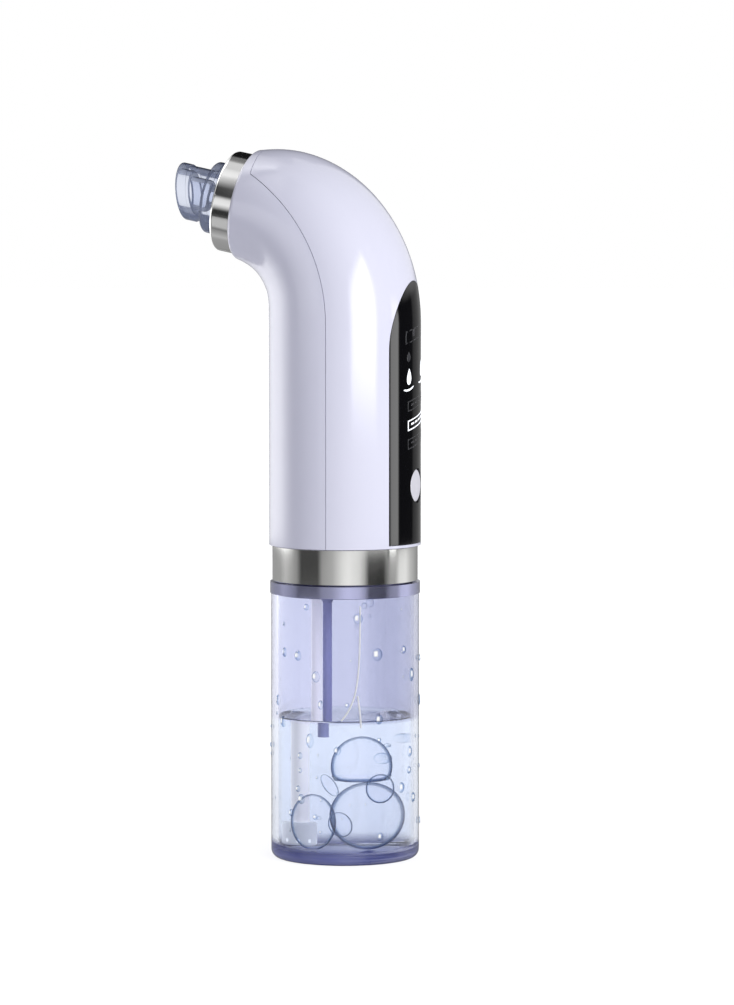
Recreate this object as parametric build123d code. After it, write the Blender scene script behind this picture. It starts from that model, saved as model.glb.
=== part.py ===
"""Hand-held water-cycle pore vacuum: a clear water cup, a bent two-shell handle and a pull-off suction tip.

Frame: +Z up through the cup and the handle, +X towards the back with the control panel, -X towards the
suction tip. The origin is the centre of the flat base that the cup stands on. Units are millimetres.
"""
from build123d import *
from functools import cache
from math import atan2, cos, hypot, radians, sin, sqrt
import os

os.makedirs("parts", exist_ok=True)

# ---- clearances -------------------------------------------------------------------------------------
FIT_GAP = 0.1        # between pieces of one body that are pushed together
SEAM_GAP = 0.18      # the visible line between the two shells and round the panel
SLIDE_GAP = 0.3      # between pieces that pull apart
RUN_GAP = 0.05       # shaft in bush, seal in bore
OVERRUN = 3.0        # how far a cutting shape goes on past the end of what it cuts
NEAR = 0.01          # how closely an edge's radius is matched when it is picked out

# ---- the radius that the cup, the waist ring and the grip share ---------------------------------------
HANDLE_R = 21.4
CUP_STEP = 0.5       # the cup is this much smaller than the grip
BAND_STEP = 0.25     # and its rim this much larger than the cup
WAIST_STEP = 0.9     # the waist ring lies back this much from the grip

# ---- cup --------------------------------------------------------------------------------------------
CUP_R = HANDLE_R - CUP_STEP
CUP_WALL = 2.0
CUP_FLOOR = 2.6
CUP_FOOT_ROUND = 2.4
CUP_INNER_ROUND = 2.0
BAND_R = CUP_R + BAND_STEP
BAND_Z = 75.2
BAND_H = 3.2
CUP_TOP = BAND_Z + BAND_H
CUP_BORE_R = CUP_R - CUP_WALL

# ---- waist ring -------------------------------------------------------------------------------------
WAIST_R = HANDLE_R - WAIST_STEP
WAIST_WALL = 1.3
WAIST_H = 10.0
WAIST_EDGE = 0.2
WAIST_Z = CUP_TOP + SLIDE_GAP
WAIST_TOP = WAIST_Z + WAIST_H

# ---- handle shells ----------------------------------------------------------------------------------
SHELL_WALL = 2.2
SHELL_Z = WAIST_TOP + FIT_GAP
BEND_Z = 151.5       # the grip is straight up to here
BEND_INSET = 0.8     # the back ellipse's centre is this far inside the front of the grip
BACK_SWEEP = 97.2    # the share of the back ellipse that is used, in degrees
FRONT_RISE = 4.22    # the front outline starts to bend this much higher than the back one
FRONT_RUN = 0.23     # its straight run up to the head's face
HEAD_R = 15.7
HEAD_TILT = 11.8     # the suction axis rises this much above the horizontal
LIP_ROUND = 1.6
BEND_STATIONS = 7
BEND_LEAD = 4.0      # the bend's surface starts this far below the bend
SEAM_X = 1.2         # the parting plane of the grip
SEAM_BEND_R = 48.0
SEAM_DROP = 0.5      # the parting line is straight up to this far below the bend
SEAM_SETBACK = 2.7   # from the head's front face to the parting line at the top
SEAM_LEAN = 3.0      # how far the parting line across the head leans from upright
CAVITY_R = HANDLE_R - SHELL_WALL

# ---- suction axis, head ring, socket and tip --------------------------------------------------------
RING_L = 5.9
RING_STEP = 1.4      # the ring is this much smaller than the head
RING_R = HEAD_R - RING_STEP
RING_WALL = 1.2
RING_LIP_R = 10.8
RING_LIP_T = 1.0
RING_ROUND = 1.0
SOCKET_R = RING_R - RING_WALL - FIT_GAP
SOCKET_L = 12.5
SOCKET_RIB = 1.4     # how far the socket's rib stands out
SOCKET_RIB_R = SOCKET_R + SOCKET_RIB
SOCKET_RIB_T = 1.4
SOCKET_RIB_S = 9.2   # from the ring's front face back to the rib
PLUG_R = 6.4
PLUG_L = 6.6
TIP_SKIRT_R = 9.6    # the step of the flange next to the ring
TIP_SKIRT_T = 2.0
TIP_FLANGE_R = 10.2
TIP_FLANGE_T = 2.6
TIP_NECK_R = 7.5
TIP_RIM_R = 7.85
TIP_RIM_L = 3.2
TIP_REACH = 13.4     # from the ring's front face to the centre of the tip's mouth
TIP_SLANT = 16.0     # the mouth's plane leans this much off square to the axis
TIP_MOUTH_R = 6.1
TIP_MOUTH_DEPTH = 3.4
TIP_CHAMBER_R = 4.6
TIP_CHAMBER_ROUND = 1.5
TIP_CHANNEL_R = 2.0
TIP_GROOVE_W = 1.5
TIP_GROOVE_DEPTH = 1.1
TIP_SEAL_ROUND = 0.4
TIP_MOUTH_ROUND = 0.6
PLUG_CHAMFER = 0.5
PLUG_SHOULDER = 1.0  # from the plug's end to the bottom of its bore
PORT_OFFSET = 4.2    # the suction port above the axis and the water port below it

# ---- cup coupling, pipe and pick-up tube ------------------------------------------------------------
PLUG_BOTTOM_Z = BAND_Z - 0.4
COUPLING_FLOOR = 2.0
COUPLING_PLUG_R = CUP_BORE_R - SLIDE_GAP
COUPLING_PLUG_WALL = 3.0
COUPLING_CORE_R = WAIST_R - WAIST_WALL - FIT_GAP
COUPLING_WALL = 2.4
COLLAR_R = CAVITY_R - FIT_GAP
COLLAR_H = 5.0
RIB_R = CAVITY_R + 0.75
RIB_T = 1.2
RIB_Z = SHELL_Z + 2.0
SEAL_W = 1.8
SEAL_DEPTH = 1.3
SEAL_ROUND = 0.5
SEAL_Z = BAND_Z + 0.5
PICKUP_XY = (-10.4, 5.5)
RETURN_XY = (-3.4, -5.5)
NIPPLE_R = 1.0
NIPPLE_BORE_R = 0.6
NIPPLE_L = 5.0
HOSE_R = 1.8
HOSE_BORE_R = 1.25
HOSE_SEAT = 0.2      # from a hose's end to the foot of its nipple
RETURN_PIPE_R = 1.3
RETURN_PIPE_BORE_R = 0.75
RETURN_PIPE_END_Z = 35.0
PIPE_ROOT_R = 3.2
PIPE_ROOT_H = 2.2
PICKUP_R = 1.65
PICKUP_BORE_R = 1.05
PICKUP_END_Z = 6.0
FILTER_R = 3.0
FILTER_H = 6.6
FILTER_Z = CUP_FLOOR + 0.7
FILTER_SLOTS = 8
FILTER_SLOT_HALF = 0.3
FILTER_WALL = 0.8
FILTER_ROUND = 0.6
FILTER_SEAT = 0.6    # the solid part above its chamber, that the tube stands on
VENT_XY = (9.0, 0.0)
VENT_R = 0.5

# ---- control panel and button -----------------------------------------------------------------------
PANEL_HALF = 12.75
PANEL_LIP = 0.9      # the strip of shell left below the panel
PANEL_DROP = 7.5     # the panel's arch starts this far below the bend
PANEL_ARCH_Z = BEND_Z - PANEL_DROP
PANEL_ARCH_H = 19.1
PANEL_T = 1.25
PANEL_BED = 0.05
BUTTON_Z = 105.8
BUTTON_R = 4.7
BUTTON_SINK = 0.5    # from the panel's highest line in to the button's face
BUTTON_ROUND = 0.45
BUTTON_TRAVEL = 0.5
BUTTON_FLANGE_R = 5.2
BUTTON_FLANGE_T = 0.8
BUTTON_STEM_R = 1.2
BUTTON_STOP = 1.0    # from the flange to the shell's inner wall
BUTTON_HOLE_GAP = 0.15
SWITCH_HALF = 2.25
SWITCH_H = 1.6
SWITCH_ROUND = 0.4
PLUNGER_R = 1.0
PLUNGER_PROUD = 0.7
LAMP_HALF = (1.0, 0.6)
LAMP_H = 0.7
WINDOW_Z = (114.0, 150.6)
GUIDE_GAP = 0.1      # from the light guide to the panel
GUIDE_WALL = 0.6
CELL_HALF_H = 1.9    # half the height of the light guide's cells
DROP_Y = 4.4         # from the middle to the two droplet marks

# ---- inside the grip: from the panel to the front come the board, the pump, the frame and the cell -----
BOARD_SINK = 7.8     # from the panel's face to the board
BOARD_CLEAR = 0.7    # from the pump to the board
BOARD_X = HANDLE_R - BOARD_SINK
BOARD_T = 1.0
PUMP_HALF_X = 7.9
PUMP_HALF_Y = 8.0
MOTOR_XY = (BOARD_X - BOARD_CLEAR - PUMP_HALF_X, 0.0)
FRAME_T = 1.2
FRAME_X = MOTOR_XY[0] - PUMP_HALF_X - SLIDE_GAP - FRAME_T
FRAME_Z = (94.4, 153.0)
FRAME_CORNER = 3.0
CELL_GAP = 0.4
CELL_R = (FRAME_X + CAVITY_R) / 2 - CELL_GAP    # the cell fills what the pump leaves
CELL_XY = (FRAME_X - CELL_GAP - CELL_R, 0.0)
BOARD_CORNER = 1.5
BOARD_Z = (101.5, 151.5)
POST_R = 1.4
POST_INSET = 2.6     # from the board's ends
POST_Z = (BOARD_Z[0] + POST_INSET, BOARD_Z[1] - POST_INSET)
SCREW_R = 0.95       # the hole that a screw passes through
PILOT_R = 0.8        # the hole that a screw bites in
SCREW_HEAD_R = 1.5
SCREW_HEAD_H = 1.1
SLOT_HALF = 0.2      # half the width of the cross in a head
SLOT_REACH = 0.65    # the cross's reach as a share of the head's radius
SCREW_L = 9.0
BOARD_SCREW_L = 5.0
BOARD_HALF = sqrt(CAVITY_R ** 2 - (BOARD_X + BOARD_T + SCREW_HEAD_H) ** 2) - FIT_GAP
POST_Y = BOARD_HALF - SCREW_HEAD_R
WINDOW_HALF = POST_Y - SCREW_HEAD_R    # the light guide's window lies between the screws
GUIDE_HALF = WINDOW_HALF - SLIDE_GAP
PUMP_SCREW_L = 11.0
PUMP_SCREW_SINK = 1.4
BOSS_WEB = 2.0       # the part of a boss under a screw's head
TOWER_R = 2.4
BOSS_R = 3.0
TOWER_SPLIT_X = 3.4
TOWERS = ((0.0, 155.6), (-10.0, 97.2), (10.0, 97.2))
CELL_Z = (108.6, 151.6)
CELL_CAP_R = 2.4
CELL_CAP_H = 0.8
CELL_ROUND = 0.6
CLIP_W = 5.0
CLIP_T = 1.2
CLIP_MOUTH = 0.35    # where the clip's ring stops, as a share of the radius past the middle
CLIP_Z = (113.0, 139.0)
MOTOR_R = 7.75
MOTOR_Z = (108.5, 129.1)
MOTOR_WALL = 0.6
MOTOR_BOSS_R = 2.8
MOTOR_BOSS_H = 1.2
BUSH_L = 1.4
MAGNET_T = 1.2
MAGNET_INSET = 2.6
MAGNET_SPLIT = 1.6   # half the gap between the two magnets
CORE_R = 5.4
CORE_Z = (4.6, 3.0)  # the core's distances from the can's two ends
CORE_POLES = 3
CORE_SLOT_R = 1.9
CORE_SLOT_X = 3.6
CORE_MOUTH = 0.5     # half the slot's mouth
COMMUTATOR_R = 1.8
COMMUTATOR_Z = 1.8
SHAFT_R = 0.75
SHAFT_INSET = 0.2
CAP_T = 1.4
CAP_SPIGOT = 1.2
TERMINAL_Y = 4.4
TERMINAL_HALF = (0.9, 0.2)
TERMINAL_L = 2.2
PUMP_Z = MOTOR_Z[1] + FIT_GAP
PUMP_BODY_H = 12.0
DIAPHRAGM_T = 1.0
PUMP_COVER_H = 7.0
PUMP_CORNER = 2.0
PUMP_FLOOR = 1.6
PUMP_CHAMFER = 0.6
VALVE_R = 2.0
VALVE_DEPTH = 2.4
WHEEL_R = 4.2
WHEEL_T = 3.0
WHEEL_ROUND = 0.3
WHEEL_Z = PUMP_Z + MOTOR_BOSS_H + 0.8
CRANK_THROW = 0.8
CRANK_R = 0.6
CRANK_L = 2.2
ROCKER_R = 2.6
ROCKER_Z = WHEEL_Z + WHEEL_T + 0.7
ROCKER_H = 2.7
ROCKER_ARM = 4.2
ROCKER_ARM_T = 1.2
ROCKER_ARM_HALF = 0.8
ROCKER_PAD_R = 1.5
ROCKER_PLAY = 0.15   # round the crank pin
DRIVEN_CUPS = 3
DRIVEN_R = 1.9
DRIVEN_WALL = 0.5
DRIVEN_NECK_R = 0.9
DRIVEN_NECK_H = 0.6
PUMP_CAVITY_R = 6.6
PUMP_INLET = (3.0, -5.2)       # from the pump's axis
PUMP_OUTLET = (-3.0, 5.2)
LANE_GAP = 0.8       # from a hose to the shell beside it
HOSE_SWAY = 0.2      # how far a nearly straight run of hose leans
SUPPLY_FOOT = 11.0   # the first bend of the supply hose is this far up it
SUPPLY_LANE = ((-9.8, 113.0), (-9.4, 131.0), (-9.9, 148.0))     # x and height, beside the cell
SUPPLY_NECK = ((-9.0, 8.8, 11.5), (-11.8, 3.2, 21.1))           # x, y and height above the bend's start
SUPPLY_LEAD = 6.5    # the last straight run, behind the socket's water port
SUCTION_FOOT = 10.0
SUCTION_SHIFT = 1.0
SUCTION_NECK = (0.4, -2.8, 30.5)
SUCTION_LEAD = 11.0
RETURN_CROSS = 1.3   # how much further in than the supply hose this one runs
RETURN_OVER = (8.6, 14.5)      # the heights of its turn over the pump
RETURN_MIDDLE = ((-3.5, -0.7), (-4.1, -9.3))    # from the pump's axis
RETURN_DOWN = 3.6    # where it turns down, behind the frame's plate
RETURN_LANE = ((4.0, 139.0), (3.0, 122.0), (3.5, 107.0), (2.4, 93.5))   # behind the plate, and height
RETURN_FOOT = 7.6
PUMP_SCREW_OFFSET = 6.3
PORT_Z = 99.6
PORT_W = 8.94
PORT_H = 3.26
PORT_L = 7.3
PORT_WALL = 0.3
PORT_INSET = 0.7
PORT_BACK_T = 1.0
PORT_HOLE_GAP = 0.25
TONGUE_HALF = (3.3, 0.35)
TONGUE_INSET = 0.6
CHARGE_BOARD_HALF = 5.6
CHARGE_BOARD_T = 1.0
CHARGE_BOARD_SETBACK = 2.4     # from the receptacle's mouth
SHELF_T = 1.6        # the ribs of the front shell that the charging board lies on
SHELF_Y = 4.0
SHELF_REACH = 9.0


# ---- shared geometry --------------------------------------------------------------------------------
def along(point, direction, distance):
    """The point at a distance from another along a direction, both in the X-Z plane."""
    return (point[0] + direction[0] * distance, point[1] + direction[1] * distance)


# The back outline of the bend is a stretch of an ellipse and the front one an arc with a straight run at
# each end. The arc's radius and the ellipse's height follow from the grip and the head that they join.
AXIS = (-cos(radians(HEAD_TILT)), sin(radians(HEAD_TILT)))       # out of the tip
AXIS_UP = (sin(radians(HEAD_TILT)), cos(radians(HEAD_TILT)))     # square to it, upwards
BACK_DEPTH = 2 * HANDLE_R - BEND_INSET
BACK_END_X = HANDLE_R - BACK_DEPTH * (1 - cos(radians(BACK_SWEEP)))
FRONT_END_X = BACK_END_X - 2 * HEAD_R * AXIS_UP[0]
FRONT_BEND_R = (-HANDLE_R - FRONT_END_X + FRONT_RUN * AXIS[0]) / (1 - AXIS_UP[0])
FRONT_CENTRE = (-HANDLE_R - FRONT_BEND_R, BEND_Z + FRONT_RISE)
FRONT_END = along(along(FRONT_CENTRE, AXIS_UP, FRONT_BEND_R), AXIS, FRONT_RUN)
HEAD_CENTRE = along(FRONT_END, AXIS_UP, HEAD_R)                  # centre of the head's front face
BACK_END = along(HEAD_CENTRE, AXIS_UP, HEAD_R)
BACK_RISE = (BACK_END[1] - BEND_Z) / sin(radians(BACK_SWEEP))
RING_FACE = along(HEAD_CENTRE, AXIS, RING_L)                     # centre of the ring's front face
SUCTION = Plane(origin=(RING_FACE[0], 0, RING_FACE[1]), x_dir=(0, 1, 0), z_dir=(AXIS[0], 0, AXIS[1]))


def turned(outline):
    """A solid of revolution about Z from (radius, height) points, where neighbours may coincide."""
    points = [point for point, after in zip(outline, outline[1:] + outline[:1])
              if hypot(after[0] - point[0], after[1] - point[1]) > 1e-6]
    return revolve(Plane.XZ * make_face(Polyline(*points, close=True)), Axis.Z)


def rod(radius, low, high, x=0.0, y=0.0):
    """An upright cylinder between two heights."""
    return Pos(x, y, (low + high) / 2) * Cylinder(radius, high - low)


def rod_x(radius, low, high, y, z):
    """A cylinder along X between two x values."""
    return Pos((low + high) / 2, y, z) * Rot(0, 90, 0) * Cylinder(radius, high - low)


def tube(inner, outer, low, high):
    """A ring of rectangular section about Z."""
    return turned([(inner, low), (outer, low), (outer, high), (inner, high)])


def block(low, high):
    """A box between its lowest and highest corners."""
    size = [h - l for l, h in zip(low, high)]
    middle = [(h + l) / 2 for l, h in zip(low, high)]
    return Pos(*middle) * Box(*size)


# ---- the bent housing -------------------------------------------------------------------------------
def back_rail(share):
    """The point a share of the way along the back outline of the bend."""
    angle = radians(BACK_SWEEP * share)
    return (HANDLE_R - BACK_DEPTH * (1 - cos(angle)), BEND_Z + BACK_RISE * sin(angle))


def front_rail(share):
    """The point a share of the way along the front outline of the bend: straight, arc, straight."""
    arc = radians(90 - HEAD_TILT)
    travelled = share * (FRONT_RISE + FRONT_BEND_R * arc + FRONT_RUN)
    if travelled <= FRONT_RISE:
        return (-HANDLE_R, BEND_Z + travelled)
    turn = (travelled - FRONT_RISE) / FRONT_BEND_R
    if turn <= arc:
        return (FRONT_CENTRE[0] + FRONT_BEND_R * cos(turn), FRONT_CENTRE[1] + FRONT_BEND_R * sin(turn))
    return along(FRONT_END, AXIS, travelled - FRONT_RISE - FRONT_BEND_R * arc - FRONT_RUN)


def bend_station(share, inset):
    """A round section of the bend, spanning from its back outline to its front outline."""
    back = back_rail(share)
    front = front_rail(share)
    across = (back[0] - front[0], back[1] - front[1])
    width = hypot(*across)
    plane = Plane(origin=((back[0] + front[0]) / 2, 0, (back[1] + front[1]) / 2),
                  x_dir=(across[0], 0, across[1]), z_dir=(-across[1], 0, across[0]))
    return plane * Circle(width / 2 - inset)


@cache
def housing(inset, overrun=0.0):
    """The outside of the grip and head as one solid, drawn in by an inset and longer at both ends."""
    radius = HANDLE_R - inset
    lead_z = BEND_Z - BEND_LEAD
    sections = [Pos(0, 0, lead_z) * Circle(radius)]
    sections += [bend_station(index / BEND_STATIONS, inset) for index in range(BEND_STATIONS + 1)]
    if overrun:
        mouth = along(HEAD_CENTRE, AXIS, overrun)
        sections.append(Plane(origin=(mouth[0], 0, mouth[1]), x_dir=(AXIS_UP[0], 0, AXIS_UP[1]),
                              z_dir=(AXIS[0], 0, AXIS[1])) * Circle(HEAD_R - inset))
    return rod(radius, SHELL_Z - overrun, lead_z) + loft(sections)


def back_region(offset):
    """Everything behind the parting line, moved towards the back by an offset."""
    reach = 3 * HANDLE_R
    centre = (SEAM_X - SEAM_BEND_R, BEND_Z - SEAM_DROP)
    radius = SEAM_BEND_R + offset
    lean = (sin(radians(SEAM_LEAN)), cos(radians(SEAM_LEAN)))
    square = (lean[1], -lean[0])                                 # across the line, towards the back
    face = along(along(BACK_END, AXIS, -SEAM_SETBACK), square, offset)
    over = (face[0] - centre[0]) * square[0] + (face[1] - centre[1]) * square[1]
    corner = along(along(centre, square, over), lean, sqrt(radius ** 2 - over ** 2))
    turn = atan2(corner[1] - centre[1], corner[0] - centre[0])
    middle = (centre[0] + radius * cos(turn / 2), centre[1] + radius * sin(turn / 2))
    top = along(corner, lean, reach)
    low = SHELL_Z - OVERRUN
    start = (centre[0] + radius, centre[1])
    outline = [Line((start[0], low), start),
               ThreePointArc(start, middle, corner),
               Line(corner, top),
               Polyline(top, (reach, top[1]), (reach, low), (start[0], low))]
    return extrude(Plane.XZ * make_face(outline), reach, both=True)


def head_rounded(body):
    """The housing with the rim of its head rounded."""
    head = Vector(HEAD_CENTRE[0], 0, HEAD_CENTRE[1])
    face = body.faces().sort_by(lambda each: (each.center() - head).length)[0]
    return fillet(face.edges(), LIP_ROUND)


def groove_cuts():
    """Rings cut in the shells' inner wall that hold the cup coupling and the tip socket."""
    coupling = rod(RIB_R + FIT_GAP, RIB_Z - FIT_GAP, RIB_Z + RIB_T + FIT_GAP)
    back = -SOCKET_RIB_S
    socket = SUCTION * rod(SOCKET_RIB_R + FIT_GAP, back - SOCKET_RIB_T - FIT_GAP, back + FIT_GAP)
    seat = SUCTION * rod(SOCKET_R + FIT_GAP, -SOCKET_L - OVERRUN, OVERRUN)
    return coupling, socket, seat


def panel_region(margin):
    """The panel's outline as a prism through the back of the handle: straight sides, an arched top."""
    half = PANEL_HALF + margin
    arch = PANEL_ARCH_H + margin
    low = SHELL_Z + PANEL_LIP - margin
    outline = [Line((-half, low), (-half, PANEL_ARCH_Z)),
               EllipticalCenterArc((0, PANEL_ARCH_Z), half, arch, start_angle=0, arc_size=180),
               Line((half, PANEL_ARCH_Z), (half, low)),
               Line((half, low), (-half, low))]
    return extrude(Plane.YZ * make_face(outline), 2 * HANDLE_R)


def tower_pair(y, z):
    """The front shell's screw tower and the back shell's counterbored boss at one place."""
    tower = rod_x(TOWER_R, -HANDLE_R, TOWER_SPLIT_X - FIT_GAP, y, z)
    pilot = rod_x(PILOT_R, TOWER_SPLIT_X - SCREW_L, TOWER_SPLIT_X + 1, y, z)
    boss = rod_x(BOSS_R, TOWER_SPLIT_X, HANDLE_R, y, z)
    seat_x = TOWER_SPLIT_X + BOSS_WEB
    bore = rod_x(SCREW_R, TOWER_SPLIT_X - 1, HANDLE_R + 1, y, z)
    bore += rod_x(SCREW_HEAD_R + FIT_GAP, seat_x, HANDLE_R + 1, y, z)
    return tower, pilot, boss, bore


def shells():
    """The two moulded halves of the handle."""
    outer = head_rounded(housing(0.0))
    inner = housing(SHELL_WALL, overrun=OVERRUN)
    wall = outer - inner
    coupling_groove, socket_groove, socket_seat = groove_cuts()
    inside = outer & inner
    # a thicker collar inside the head carries the socket
    collar = SUCTION * rod(HEAD_R, -SOCKET_L, -RING_L)
    wall += (inside & collar)
    wall = wall - coupling_groove - socket_groove - socket_seat
    front = wall - back_region(0.0)
    back = wall & back_region(SEAM_GAP)
    for y, z in TOWERS:
        tower, pilot, boss, bore = tower_pair(y, z)
        front = front + (tower & inside) - pilot
        back = back + (boss & inside) - bore
    bed = panel_region(SEAM_GAP) - housing(PANEL_T + PANEL_BED, overrun=OVERRUN)
    back = back - bed
    back -= rod_x(BUTTON_R + BUTTON_HOLE_GAP + FIT_GAP, 0, HANDLE_R + 1, 0, BUTTON_Z)
    back -= block((BOARD_X, -WINDOW_HALF, WINDOW_Z[0]), (HANDLE_R + 1, WINDOW_HALF, WINDOW_Z[1]))
    for y in (-SHELF_Y, SHELF_Y):
        shelf = block((-HANDLE_R, y - SHELF_T / 2, shelf_top() - SHELF_T),
                      (SHELF_REACH - HANDLE_R, y + SHELF_T / 2, shelf_top()))
        front = front + (shelf & inside)
    hole = SlotOverall(PORT_W + 2 * PORT_HOLE_GAP, PORT_H + 2 * PORT_HOLE_GAP, rotation=90)
    front -= Pos(-HANDLE_R, 0, PORT_Z) * Rot(0, 90, 0) * extrude(hole, HANDLE_R / 2, both=True)
    return front, back


def shelf_top():
    """The top of the ribs that the charging board lies on."""
    return PORT_Z - PORT_H / 2 - CHARGE_BOARD_T


def control_panel():
    """The glossy panel let into the back shell, following its curve."""
    panel = (housing(0.0) & panel_region(0.0)) - housing(PANEL_T, overrun=OVERRUN)
    panel -= rod_x(BUTTON_R + BUTTON_HOLE_GAP, 0, HANDLE_R + 1, 0, BUTTON_Z)
    return panel


# ---- head -------------------------------------------------------------------------------------------
def head_ring():
    """The metal trim ring on the head, with a turned-in front lip."""
    bore_r = RING_R - RING_WALL
    back = -RING_L + FIT_GAP
    ring = turned([(RING_LIP_R, 0), (RING_R, 0), (RING_R, back), (bore_r, back), (bore_r, -RING_LIP_T),
                   (RING_LIP_R, -RING_LIP_T)])
    ring = fillet(ring.edges().group_by(Axis.Z)[-1].sort_by(SortBy.RADIUS)[-1], RING_ROUND)
    return SUCTION * ring


def tip_socket():
    """The insert that holds the tip: a bore for its plug, two ports at the back for the hoses."""
    front = -RING_LIP_T - FIT_GAP
    bore_r = PLUG_R + SLIDE_GAP / 2
    bore_end = -PLUG_L - PLUG_SHOULDER
    rib = -SOCKET_RIB_S
    rib_back = rib - SOCKET_RIB_T
    body = turned([(bore_r, front), (SOCKET_R, front), (SOCKET_R, rib), (SOCKET_RIB_R, rib),
                   (SOCKET_RIB_R, rib_back), (SOCKET_R, rib_back), (SOCKET_R, -SOCKET_L), (0, -SOCKET_L),
                   (0, bore_end), (bore_r, bore_end)])
    for offset in (PORT_OFFSET, -PORT_OFFSET):
        body += rod(NIPPLE_R, -SOCKET_L - NIPPLE_L, -SOCKET_L, x=0, y=offset)
        body -= rod(NIPPLE_BORE_R, -SOCKET_L - NIPPLE_L - 1, bore_end + 1, x=0, y=offset)
    return SUCTION * body


def slanted(radius, low, high):
    """A cylinder on the suction axis whose ends both lean as the mouth does."""
    reach = 6 * radius
    side = Rot(0, 0, 90) * Rot(0, TIP_SLANT, 0)
    between = Pos(0, 0, low) * side * block((-reach, -reach, 0), (reach, reach, reach))
    between &= Pos(0, 0, high) * side * block((-reach, -reach, -reach), (reach, reach, 0))
    return rod(radius, low - reach / 2, high + reach / 2) & between


def suction_tip():
    """The clear tip: a plug with a seal groove, a stepped flange, a neck and a slanted mouth."""
    skirt = SLIDE_GAP + TIP_SKIRT_T
    flange = skirt + TIP_FLANGE_T
    body = turned([(0, -PLUG_L), (PLUG_R - PLUG_CHAMFER, -PLUG_L), (PLUG_R, -PLUG_L + PLUG_CHAMFER),
                   (PLUG_R, SLIDE_GAP), (TIP_SKIRT_R, SLIDE_GAP), (TIP_SKIRT_R, skirt),
                   (TIP_FLANGE_R, skirt), (TIP_FLANGE_R, flange), (0, flange)])
    body = fillet([e for e in body.edges().filter_by(GeomType.CIRCLE)
                   if abs(e.radius - TIP_FLANGE_R) < NEAR and e.center().Z > skirt + NEAR], TIP_FLANGE_T / 3)
    rim_low = TIP_REACH - TIP_RIM_L
    body += slanted(TIP_NECK_R, skirt, rim_low + 0.1) & rod(TIP_NECK_R + 1, skirt, TIP_REACH)
    rim = slanted(TIP_RIM_R, rim_low, TIP_REACH)
    body += fillet(rim.faces().sort_by(Axis.Z)[-1].edges(), TIP_MOUTH_ROUND)
    groove = tube(PLUG_R - TIP_GROOVE_DEPTH, PLUG_R + 1, tip_groove(), tip_groove() + TIP_GROOVE_W)
    mouth = slanted(TIP_MOUTH_R, TIP_REACH - TIP_MOUTH_DEPTH, TIP_REACH + OVERRUN)
    chamber = rod(TIP_CHAMBER_R, flange, TIP_REACH)
    chamber = fillet(chamber.edges().group_by(Axis.Z)[0], TIP_CHAMBER_ROUND)
    channel = rod(TIP_CHANNEL_R, -PLUG_L - 1, TIP_REACH)
    return SUCTION * (body - groove - mouth - chamber - channel)


def tip_groove():
    """Where the seal groove starts along the plug."""
    return -PLUG_L / 2 - TIP_GROOVE_W / 2


def tip_seal():
    """The soft ring in the plug's groove."""
    outer = PLUG_R + SLIDE_GAP / 2 - RUN_GAP
    inner = PLUG_R - TIP_GROOVE_DEPTH
    low = tip_groove() + RUN_GAP
    ring = tube(inner, outer, low, low + TIP_GROOVE_W - 2 * RUN_GAP)
    return SUCTION * fillet(ring.edges().filter_by(GeomType.CIRCLE), TIP_SEAL_ROUND)


# ---- cup and coupling -------------------------------------------------------------------------------
def water_cup():
    """The clear cup with a thick rim round its mouth."""
    body = turned([(0, 0), (CUP_R, 0), (CUP_R, BAND_Z), (BAND_R, BAND_Z), (BAND_R, CUP_TOP), (0, CUP_TOP)])
    body = fillet(body.edges().group_by(Axis.Z)[0], CUP_FOOT_ROUND)
    hollow = rod(CUP_BORE_R, CUP_FLOOR, CUP_TOP + OVERRUN)
    hollow = fillet(hollow.edges().group_by(Axis.Z)[0], CUP_INNER_ROUND)
    return body - hollow


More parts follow.
